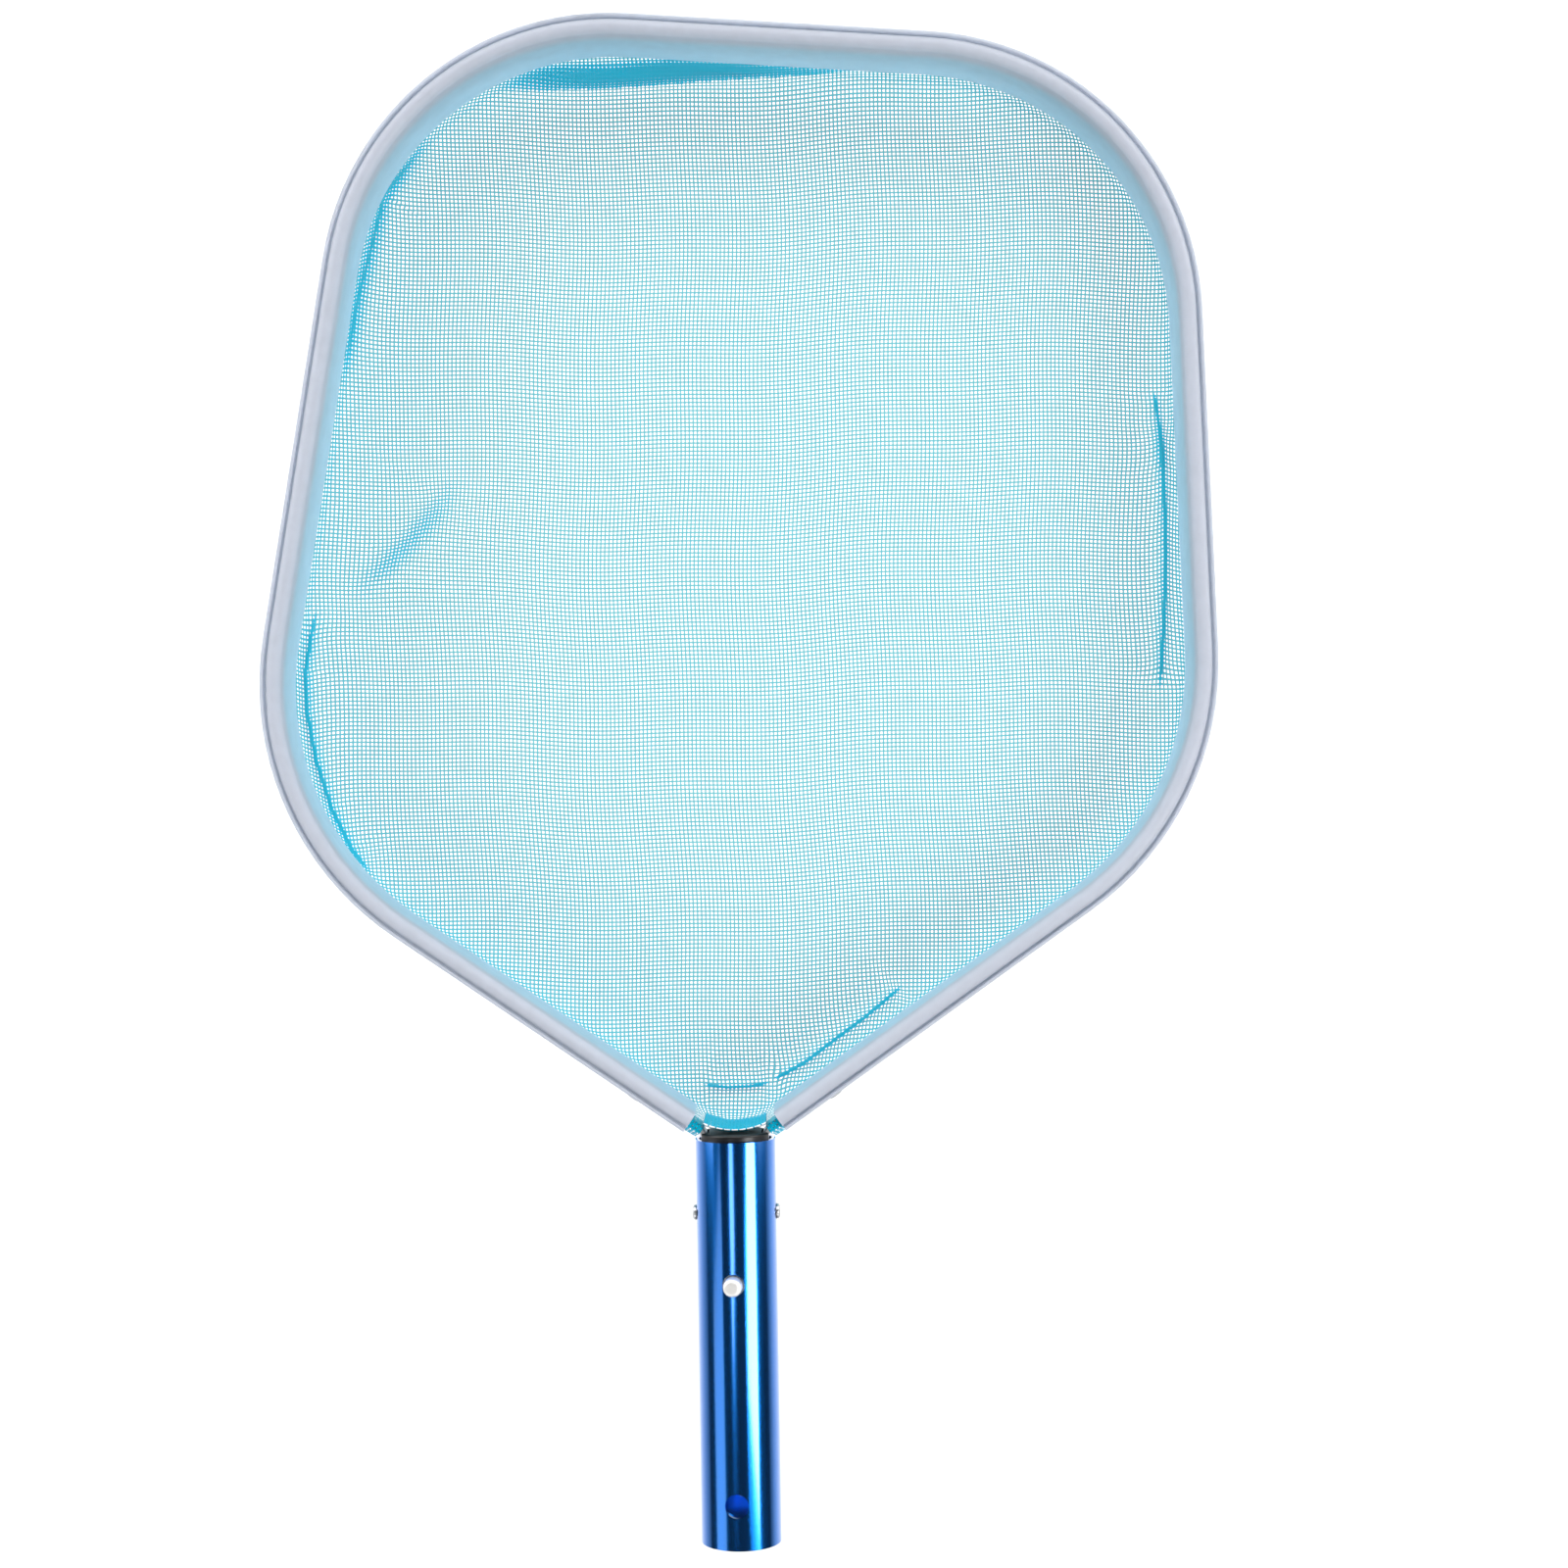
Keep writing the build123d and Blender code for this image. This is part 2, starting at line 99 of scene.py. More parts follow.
# ---- nodes and colours ----


def linear(hex_colour: str) -> tuple[float, float, float, float]:
    """Turn an sRGB hex colour into linear red, green, blue and alpha.

    Args:
        hex_colour: Six hex digits after a hash sign.

    Returns:
        The linear colour, with an alpha of 1.
    """
    parts = [int(hex_colour[i : i + 2], 16) / 255 for i in (1, 3, 5)]
    red, green, blue = (c / 12.92 if c <= 0.04045 else ((c + 0.055) / 1.055) ** 2.4 for c in parts)
    return (red, green, blue, 1.0)


def add_node(
    tree: Tree, kind: str, inputs: dict | None = None, output: int | str = 0, **settings
) -> Socket:
    """Add a node with its settings, values and links.

    Args:
        tree: The node tree to add to.
        kind: The node's type, without its ShaderNode prefix.
        inputs: Socket name or number to a value, or to the output socket that feeds it.
        output: Which output to give back, by number or name.
        settings: The node's own attributes.

    Returns:
        That output's socket.
    """
    node = tree.nodes.new("ShaderNode" + kind)
    for name, value in settings.items():
        setattr(node, name, value)
    for key, value in (inputs or {}).items():
        if isinstance(value, bpy.types.NodeSocket):
            tree.links.new(value, node.inputs[key])
        else:
            node.inputs[key].default_value = value
    return node.outputs[output]


# ---- finishes ----


@dataclass(frozen=True)
class Finish:
    """A material on one Principled shader, with the grain of how its surface was made.

    The grain is noise of a size along x, y and z. It varies the roughness by grain_spread about
    its mean, which breaks up the glints, and bumps the surface.
    """

    name: str
    colour: str
    roughness: float
    metallic: float = 0.0
    ior: float = 1.5
    coat: float = 0.0
    coat_ior: float = 1.5
    coat_roughness: float = 0.05
    grain_mm: Triple = (0.5, 0.5, 0.5)
    grain_spread: float = 0.1
    grain_depth_mm: float = 0.01
    grain_strength: float = 0.5

    def material(self) -> bpy.types.Material:
        """Make the Blender material.

        Returns:
            The new material.
        """
        made = bpy.data.materials.new(self.name)
        made.use_nodes = True
        tree = made.node_tree
        shader = tree.nodes["Principled BSDF"]
        values = {
            "Base Color": linear(self.colour),
            "Roughness": self.roughness,
            "Metallic": self.metallic,
            "Coat Weight": self.coat,
            "Coat IOR": self.coat_ior,
            "Coat Roughness": self.coat_roughness,
        }
        if not self.metallic:
            values["IOR"] = self.ior
        for name, value in values.items():
            shader.inputs[name].default_value = value
        self.detail(tree, shader)
        return made

    def noise(self, tree: Tree, size_mm: Triple) -> Socket:
        """Make noise in the piece's own coordinates.

        Args:
            tree: The material's node tree.
            size_mm: The noise's size along x, y and z, in millimetres.

        Returns:
            Its value's socket, from 0 to 1.
        """
        place = add_node(tree, "TexCoord", output="Object")
        scale = tuple(1 / (size * MM) for size in size_mm)
        mapped = add_node(tree, "Mapping", {"Vector": place, "Scale": scale})
        values = {"Vector": mapped, "Scale": 1.0, "Detail": 3.0}
        return add_node(tree, "TexNoise", values)

    def detail(self, tree: Tree, shader: Node) -> None:
        """Add the grain to the roughness and the surface.

        Args:
            tree: The material's node tree.
            shader: Its Principled shader.
        """
        grain = self.noise(tree, self.grain_mm)
        half = self.grain_spread / 2
        span = {"Value": grain, "To Min": self.roughness - half, "To Max": self.roughness + half}
        ranged = add_node(tree, "MapRange", span)
        tree.links.new(ranged, shader.inputs["Roughness"])
        depth = self.grain_depth_mm * MM
        relief = {"Height": grain, "Distance": depth, "Strength": self.grain_strength}
        bumped = add_node(tree, "Bump", relief)
        tree.links.new(bumped, shader.inputs["Normal"])


@dataclass(frozen=True)
class DrawnAnodised(Finish):
    """Bright aluminium tube, drawn and then dyed in the anodising bath.

    The draw lines run along y and spread its reflections round the tube. The clear oxide on top,
    which is the coat, gives white glints over the dyed colour.
    """

    metallic: float = 1.0
    coat: float = 1.0
    coat_ior: float = 1.6
    coat_roughness: float = 0.1
    grain_mm: Triple = (0.35, 70.0, 0.35)
    grain_spread: float = 0.08
    grain_depth_mm: float = 0.003


@dataclass(frozen=True)
class RolledAluminium(Finish):
    """Flat mill-finish aluminium bar, bent on edge.

    Its fine grey streaks are thin in z only, since they run along the bar all round the hoop.
    """

    metallic: float = 1.0
    grain_mm: Triple = (20.0, 20.0, 0.5)
    grain_spread: float = 0.16
    grain_strength: float = 0.4


@dataclass(frozen=True)
class PressedMetal(Finish):
    """Small pressed or headed metal piece, whose tool left faint dimples that soften its glint."""

    metallic: float = 1.0
    grain_mm: Triple = (0.6, 0.6, 0.6)
    grain_spread: float = 0.08


@dataclass(frozen=True)
class ExtrudedPvc(Finish):
    """Flexible off-white PVC, extruded, a little translucent, with a satin skin.

    Light passes through its wall, so its shaded side stays pale. Painted light is blended into
    the thin skirt's colour by height: the blue light that reaches it through the mesh behind.
    """

    grain_strength: float = 0.3
    # Painted light: the blue light through the mesh behind the skirt, blended in below
    # skirt_top_mm.
    skirt_painted_light: str = "#CCE7F3"
    skirt_top_mm: float = 6.5
    skirt_full_mm: float = -2.0
    mottle_mm: Triple = (5.0, 5.0, 5.0)
    mottle_low: float = 0.94
    mottle_high: float = 1.06
    translucency: float = 0.5

    def detail(self, tree: Tree, shader: Node) -> None:
        """Add the skin, the skirt's painted blue light, faint mottling and light through the wall.

        Args:
            tree: The material's node tree.
            shader: Its Principled shader.
        """
        super().detail(tree, shader)
        place = add_node(tree, "TexCoord", output="Object")
        height = add_node(tree, "SeparateXYZ", {0: place}, 2)
        top, full = self.skirt_top_mm * MM, self.skirt_full_mm * MM
        drop = {"Value": height, "From Min": top, "From Max": full}
        depth = add_node(tree, "MapRange", drop, interpolation_type="SMOOTHSTEP")
        # Painted light on the skirt: further down, its colour turns to the blue light from the mesh
        # behind it.
        tints = {0: depth, 6: linear(self.colour), 7: linear(self.skirt_painted_light)}
        tint = add_node(tree, "Mix", tints, 2, data_type="RGBA")
        mottle = self.noise(tree, self.mottle_mm)
        span = {"Value": mottle, "To Min": self.mottle_low, "To Max": self.mottle_high}
        shade = add_node(tree, "MapRange", span)
        shaded = add_node(tree, "HueSaturation", {"Color": tint, "Value": shade})
        tree.links.new(shaded, shader.inputs["Base Color"])
        glow = add_node(tree, "BsdfTranslucent", {"Color": shaded})
        both = {0: self.translucency, 1: shader.outputs[0], 2: glow}
        mixed = add_node(tree, "MixShader", both)
        tree.links.new(mixed, tree.nodes["Material Output"].inputs["Surface"])


@dataclass(frozen=True)
class MouldedPlastic(Finish):
    """Injection-moulded plastic, or matte paper, whose fine grain dulls its reflections."""

    grain_mm: Triple = (0.4, 0.4, 0.4)
    grain_spread: float = 0.12
    grain_depth_mm: float = 0.02


@dataclass(frozen=True)
class WovenMesh(Finish):
    """Plain-woven blue monofilament mesh, mostly open, so that what lies under it shows through.

    The threads are drawn from the weave UV, which is the flat cloth in metres. Where the cloth is
    steep or gathered, the crowd attribute says how many times closer the threads lie, so they
    cover more there and their blue deepens. The mesh's real pitch is wide enough to show. Its
    low index leaves out the glancing sheen of a flat sheet, which round threads don't have.
    """

    deep_colour: str = "#04B6D6"
    pitch_mm: float = 1.5
    thread_mm: float = 0.5
    edge_mm: float = 0.4
    crossing_shade: float = 0.78
    filament: float = 0.98
    fold_mm: float = 0.8
    fold_crowd: float = 3.0
    deep_from: float = 0.95
    deep_to: float = 1.9

    def detail(self, tree: Tree, shader: Node) -> None:
        """Add both sets of threads to the alpha, and deepen them where they cross or crowd.

        Args:
            tree: The material's node tree.
            shader: Its Principled shader.
        """
        flat = add_node(tree, "UVMap", uv_map=WEAVE_UV)
        crowd = self.crowding(tree)
        width, edge = (size / self.pitch_mm / 2 for size in (self.thread_mm, self.edge_mm))
        half = add_node(tree, "Math", {0: crowd, 1: width}, operation="MULTIPLY")
        outer = add_node(tree, "Math", {0: half, 1: edge}, operation="ADD")
        inner = add_node(tree, "Math", {0: half, 1: edge}, operation="SUBTRACT")
        threads = {}
        for i in (0, 1):
            across = add_node(tree, "SeparateXYZ", {0: flat}, i)
            threads[i] = self.thread(tree, across, inner, outer)
        cover = add_node(tree, "Math", threads, operation="MAXIMUM")
        cross = add_node(tree, "Math", threads, operation="MULTIPLY")
        solid = {0: cover, 1: self.filament}
        alpha = add_node(tree, "Math", solid, operation="MULTIPLY")
        tree.links.new(alpha, shader.inputs["Alpha"])
        span = {"Value": crowd, "From Min": self.deep_from, "From Max": self.deep_to}
        depth = add_node(tree, "MapRange", span)
        blues = {0: depth, 6: linear(self.colour), 7: linear(self.deep_colour)}
        dyed = add_node(tree, "Mix", blues, 2, data_type="RGBA")
        span = {"Value": cross, "To Min": 1.0, "To Max": self.crossing_shade}
        shade = add_node(tree, "MapRange", span)
        shaded = add_node(tree, "HueSaturation", {"Color": dyed, "Value": shade})
        tree.links.new(shaded, shader.inputs["Base Color"])

    def crowding(self, tree: Tree) -> Socket:
        """Add a sharp fold's crowding to the cloth's own.

        The fold attribute is the distance from a fold's line, in millimetres, and the sharp
        attribute is how sharp that fold is.

        Args:
            tree: The material's node tree.

        Returns:
            Socket with how many times closer than flat the threads lie.
        """
        crowd, fold, sharp = (
            add_node(tree, "Attribute", output="Fac", attribute_name=name)
            for name in (CROWD, FOLD, SHARP)
        )
        away = add_node(tree, "Math", {0: fold}, operation="ABSOLUTE")
        span = {"Value": away, "From Min": self.fold_mm, "From Max": 0.0, "To Max": self.fold_crowd}
        near = add_node(tree, "MapRange", span, interpolation_type="SMOOTHSTEP")
        values = {0: near, 1: sharp, 2: crowd}
        return add_node(tree, "Math", values, operation="MULTIPLY_ADD")

    def thread(self, tree: Tree, position: Socket, inner: Socket, outer: Socket) -> Socket:
        """Draw one set of threads.

        Args:
            tree: The material's node tree.
            position: Socket with the place across the threads, in metres.
            inner: Socket with the half width that is full thread, in pitches.
            outer: Socket with the half width at which the thread ends, in pitches.

        Returns:
            Socket that is 1 on the threads and 0 between them.
        """
        count = {0: position, 1: 1 / (self.pitch_mm * MM)}
        pitches = add_node(tree, "Math", count, operation="MULTIPLY")
        away = add_node(tree, "Math", {0: pitches, 1: 0.5}, operation="PINGPONG")
        span = {"Value": away, "From Min": outer, "From Max": inner}
        return add_node(tree, "MapRange", span, interpolation_type="SMOOTHSTEP")


@dataclass(frozen=True)
class TwistedFibre(Finish):
    """Spun polyester, as cord or sewing thread, whose fine fibres give it a soft, dry white."""

    grain_mm: Triple = (0.15, 0.6, 0.15)
    grain_depth_mm: float = 0.05
    grain_strength: float = 0.8


FINISHES = {
    "blue_anodised_aluminium": DrawnAnodised(
        "Blue anodised aluminium, drawn tube", "#027ADE", 0.19
    ),
    "mill_aluminium": RolledAluminium("Mill-finish aluminium, bent bar", "#D6D8DA", 0.34),
    "rivet_aluminium": PressedMetal("Aluminium, headed rivet", "#C9CBCE", 0.3),
    "mandrel_steel": PressedMetal("Zinc-plated steel, broken mandrel", "#8E8E92", 0.45),
    "spring_steel": PressedMetal("Spring steel, rolled strip", "#A8A8AC", 0.32),
    "button_steel": PressedMetal("Nickel-plated steel, pressed button", "#F0EFEC", 0.55),
    "white_pvc": ExtrudedPvc("Flexible PVC, extruded edge", "#D9DDE6", 0.42, ior=1.53),
    "black_plastic": MouldedPlastic("Black polypropylene, moulded", "#0B0B0D", 0.35, ior=1.49),
    "blue_mesh": WovenMesh("Blue nylon mesh, plain weave", "#4AB0BB", 0.55, ior=1.15),
    "cord": TwistedFibre("White polyester cord, twisted", "#DADDE0", 0.75, ior=1.57),
    "white_thread": TwistedFibre("White polyester thread, spun", "#EEF1F1", 0.7, ior=1.57),
}


# ---- geometry ----


@dataclass(frozen=True)
class Line:
    """A line in plan, sampled, in millimetres.

    points are (n, 2), outward are the unit normals away from the hoop, run is the length along.
    """

    points: Array
    outward: Array
    run: Array

    def inset(self, amount: float | Array) -> Array:
        """Points moved towards the hoop's inside by an amount, or by one amount each."""
        return self.points - self.outward * np.reshape(amount, (-1, 1))

    def part(self, first: float, last: float, count: int) -> "Line":
        """Resample between two lengths along the line.

        Args:
            first: Where to start, in millimetres along.
            last: Where to end.
            count: How many points.

        Returns:
            The new line.
        """
        run = np.linspace(first, last, count)
        points, outward = (
            np.stack([np.interp(run, self.run, column) for column in values.T], axis=1)
            for values in (self.points, self.outward)
        )
        outward /= np.linalg.norm(outward, axis=1, keepdims=True)
        return Line(points, outward, run)


@dataclass(frozen=True)
class Hoop:
    """Middle line of the hoop's bar: five straight runs joined by arcs, in millimetres.

    The line runs anticlockwise from where the edge profile is cut on the right slant to where it
    is cut on the left slant, and then along the net's arc across the mouth.
    """

    mouth_y: float
    tail_x: float = 10.7
    bend_rise: float = 2.3
    shoulder_x: float = 171.6
    shoulder_rise: float = 114.5
    shoulder_r: float = 104.0
    top_half_width: float = 143.0
    top_rise: float = 277.2
    top_r: float = 99.0
    lean_deg: float = 4.3
    cut_start: float = 6.8

    @property
    def slant(self) -> float:
        """Angle of the slants above the x axis."""
        rise = self.shoulder_rise - self.bend_rise
        return atan2(rise, self.shoulder_x - self.tail_x)

    @property
    def foot_y(self) -> float:
        """Where the two slants would meet on the handle's axis."""
        return self.mouth_y + self.bend_rise - self.tail_x * tan(self.slant)

    @property
    def mouth_r(self) -> float:
        """Radius of the arc across the mouth, which ends at the profile's cut ends."""
        return (self.tail_x / cos(self.slant) + self.cut_start) / tan(self.slant)

    def corners(self) -> list[tuple[Array, float]]:
        """List the corners before rounding, anticlockwise from the right shoulder.

        Returns:
            Each corner's place in plan and its radius.
        """
        lean = radians(self.lean_deg)
        up = np.array([sin(lean), cos(lean)])
        across = np.array([cos(lean), -sin(lean)])
        shoulder_y = self.mouth_y + self.shoulder_rise
        middle = np.array([0.0, shoulder_y]) + self.top_rise * up
        return [
            (np.array([self.shoulder_x, shoulder_y]), self.shoulder_r),
            (middle + self.top_half_width * across, self.top_r),
            (middle - self.top_half_width * across, self.top_r),
            (np.array([-self.shoulder_x, shoulder_y]), self.shoulder_r),
            (np.array([0.0, self.foot_y]), self.mouth_r),
        ]

    def line(self, step: float) -> Line:
        """Sample the closed line.

        Straight runs are divided evenly. An arc of radius R about a centre C is C + R n, where
        the outward normal n turns evenly from one run's normal to the next one's.

        Args:
            step: The largest distance between points, in millimetres.

        Returns:
            The line, whose last point is one step before its first.
        """
        corners = self.corners()
        points, normals = [], []
        start = None
        for i, (corner, radius) in enumerate(corners):
            into = corner - corners[i - 1][0]
            out = corners[(i + 1) % len(corners)][0] - corner
            into, out = into / np.linalg.norm(into), out / np.linalg.norm(out)
            turn = np.arccos(np.clip(into @ out, -1, 1))
            tangent = radius * tan(turn / 2)
            if start is None:
                start = corners[-1][0] + into * corners[-1][1] * tan(self.slant)
            end = corner - into * tangent
            count = ceil(np.linalg.norm(end - start) / step)
            share = np.arange(count)[:, None] / count
            normal = np.array([into[1], -into[0]])
            points.append(start + (end - start) * share)
            normals.append(np.repeat(normal[None], count, axis=0))
            count = ceil(radius * turn / step)
            angle = atan2(normal[1], normal[0]) + turn * np.arange(count) / count
            round_normals = np.stack([np.cos(angle), np.sin(angle)], axis=1)
            points.append(end - normal * radius + radius * round_normals)
            normals.append(round_normals)
            start = corner + out * tangent
        joined = np.concatenate(points)
        steps = np.linalg.norm(np.diff(joined, axis=0), axis=1)
        return Line(joined, np.concatenate(normals), np.concatenate([[0.0], np.cumsum(steps)]))

    def slant_line(self, side: Side, first: float, last: float, count: int) -> Line:
        """Sample part of a slant by the distance from the bend, upwards.

        Args:
            side: Which slant.
            first: Where to start, in millimetres from the bend.
            last: Where to end.
            count: How many points.

        Returns:
            The line.
        """
        run = np.linspace(first, last, count)
        x = side.value * (self.tail_x + run * cos(self.slant))
        y = self.mouth_y + self.bend_rise + run * sin(self.slant)
        outward = np.array([side.value * sin(self.slant), -cos(self.slant)])
        return Line(np.stack([x, y], axis=1), np.repeat(outward[None], count, axis=0), run)


def grid_faces(rows: int, columns: int, close_rows: bool, close_columns: bool) -> Array:
    """Quads over a grid of points.

    Args:
        rows: Number of rows of points.
        columns: Number of points in a row.
        close_rows: Whether the last row joins the first.
        close_columns: Whether the last column joins the first.

    Returns:
        Vertex numbers, four for each face.
    """
    row = np.arange(rows if close_rows else rows - 1)[:, None]
    column = np.arange(columns if close_columns else columns - 1)[None]
    next_row, next_column = (row + 1) % rows, (column + 1) % columns
    corners = (
        row * columns + column,
        row * columns + next_column,
        next_row * columns + next_column,
        next_row * columns + column,
    )
    return np.stack([c.ravel() for c in np.broadcast_arrays(*corners)], axis=1)


def new_piece(name: str, points: Array, faces: list, smooth: bool = True) -> Piece:
    """Make a mesh object at the origin.

    Args:
        name: The piece's name.
        points: Vertices in millimetres, as (n, 3).
        faces: Vertex numbers of each face.
        smooth: Whether its faces are shaded smooth.

    Returns:
        The new object.
    """
    mesh = bpy.data.meshes.new(name)
    mesh.from_pydata((points * MM).tolist(), [], [list(map(int, face)) for face in faces])
    mesh.polygons.foreach_set("use_smooth", np.full(len(mesh.polygons), smooth))
    mesh.update()
    piece = bpy.data.objects.new(name, mesh)
    bpy.context.scene.collection.objects.link(piece)
    return piece


def write_weave(
    piece: Piece, flat: Array, crowd: Array, fold: Array | None = None, sharp: Array | None = None
) -> None:
    """Give a cloth piece its flat coordinates and how crowded its threads are.

    Args:
        piece: The cloth's mesh object.
        flat: Each vertex's place on the flat cloth, in millimetres, as (n, 2).
        crowd: How many times closer than flat the threads lie at each vertex.
        fold: Distance from the nearest sharp fold, in millimetres, where there is one.
        sharp: How sharp that fold is, from 0 to 1.
    """
    mesh = piece.data
    corner = np.zeros(len(mesh.loops), np.int32)
    mesh.loops.foreach_get("vertex_index", corner)
    layer = mesh.uv_layers.new(name=WEAVE_UV)
    layer.data.foreach_set("uv", (flat[corner] * MM).astype(np.float32).ravel())
    none = np.zeros(len(crowd))
    for name, values in ((CROWD, crowd), (FOLD, fold), (SHARP, sharp)):
        attribute = mesh.attributes.new(name, "FLOAT", "POINT")
        values = none if values is None else values
        attribute.data.foreach_set("value", values.astype(np.float32))


def sweep_section(line3: Array, side: Array, up: Array, section: Array) -> tuple[Array, list]:
    """Sweep a closed section along a line.

    A vertex is the line's point plus the section's first number times side and its second
    number times up.

    Args:
        line3: Points of the line, as (n, 3).
        side: Unit vectors across the line, as (n, 3).
        up: Unit vectors, as (n, 3).
        section: The section's points anticlockwise about the way along, as (m, 2) or (n, m, 2).

    Returns:
        The vertices, as (n * m, 3), and the faces, with both ends closed.
    """
    section = np.broadcast_to(section, (len(line3), *section.shape[-2:]))
    grid = line3[:, None] + section[..., :1] * side[:, None] + section[..., 1:] * up[:, None]
    rows, columns = grid.shape[:2]
    faces = grid_faces(rows, columns, False, True).tolist()
    faces.append(list(range(columns)))
    faces.append(list(range((rows - 1) * columns, rows * columns))[::-1])
    return grid.reshape(-1, 3), faces


def smoothstep(value: Array) -> Array:
    """Ease from 0 to 1, and stay there on either side."""
    clipped = np.clip(value, 0, 1)
    return clipped * clipped * (3 - 2 * clipped)


# ---- net ----


@dataclass(frozen=True)
class Wave:
    """A sine wave: height times the sine of a place over length, plus phase."""

    height: float
    length: float
    phase: float = 0.0

    def at(self, place: Array) -> Array:
        """The wave's value at each place, in millimetres."""
        return self.height * np.sin(place / self.length + self.phase)


@dataclass(frozen=True)
class Crease:
    """A fold in the net's floor along a few points in plan, in millimetres.

    rise lifts the cloth within width of the line. gather is the length of cloth that the fold
    takes up, and slip how far its threads bend along it; both die away over pull. crowd is how
    much closer the threads lie, and sharp draws the thin line of a fold that is pressed flat.
    A lapped fold crowds the threads on its left only: by the share lap_near at its line, in full
    at lap, and not at all from lap_end times lap.
    """

    points: tuple[tuple[float, float], ...]
    rise: float = 1.5
    width: float = 2.0
    gather: float = 2.0
    slip: float = 0.0
    crowd: float = 0.0
    sharp: float = 0.0
    lap: float = 0.0
    lap_near: float = 0.6
    lap_end: float = 2.2
    fade: float = 0.2
    pull: float = 14.0

    def measure(self, xy: Array) -> tuple[Array, Array, Array]:
        """Measure each point against the line.

        Args:
            xy: Points in plan, as (n, 2).

        Returns:
            The distance to the line's left, the share of its length, and its direction there.
        """
        corners = np.array(self.points)
        step = np.diff(corners, axis=0)
        size = np.linalg.norm(step, axis=1)
        before = np.concatenate([[0.0], np.cumsum(size)])
        share = np.einsum("nij,ij->ni", xy[:, None] - corners[None, :-1], step) / size**2
        number = np.arange(len(size))
        least = np.where(number == 0, -FAR_MM, 0.0)
        most = np.where(number == len(size) - 1, FAR_MM, 1.0)
        held = np.clip(share, least, most)
        away = xy[:, None] - (corners[None, :-1] + held[..., None] * step[None])
        nearest = np.argmin(np.linalg.norm(away, axis=2), axis=1)
        row = np.arange(len(xy))
        along = step[nearest] / size[nearest, None]
        near = away[row, nearest]
        left = np.sign(along[:, 0] * near[:, 1] - along[:, 1] * near[:, 0])
        off = np.linalg.norm(near, axis=1) * left
        run = before[nearest] + held[row, nearest] * size[nearest]
        return off, run / before[-1], along

    def apply(self, xy: Array) -> tuple[Array, ...]:
        """Work out what the fold does at each point.

        With d the distance from its line and f fading it out at both ends, the cloth rises by
        rise exp(-(d/width)^2) f. It moves across the line by
        gather/2 tanh(d/width) exp(-(d/pull)^2) f, and along it by slip exp(-2 |d|/pull) f.

        Args:
            xy: Points in plan, as (n, 2).

        Returns:
            The rise, the move of the flat cloth as (n, 2), the added crowding, the distance, and
            the fold's sharpness.
        """
        off, share, along = self.measure(xy)
        fade = smoothstep(share / self.fade) * smoothstep((1 - share) / self.fade)
        across = np.stack([-along[:, 1], along[:, 0]], axis=1)
        bell = np.exp(-((off / self.width) ** 2)) * fade
        gathered = self.gather / 2 * np.tanh(off / self.width) * np.exp(-((off / self.pull) ** 2))
        slipped = self.slip * np.exp(-2 * np.abs(off) / self.pull)
        move = (gathered * fade)[:, None] * across + (slipped * fade)[:, None] * along
        crowd = self.crowd * bell
        if self.lap:
            lapped = self.lap_near + (1 - self.lap_near) * smoothstep(off / self.lap)
            ending = smoothstep((self.lap_end * self.lap - off) / self.lap)
            crowd = self.crowd * ((off > 0) * lapped) * ending * fade
        return self.rise * bell, move, crowd, off, self.sharp * fade


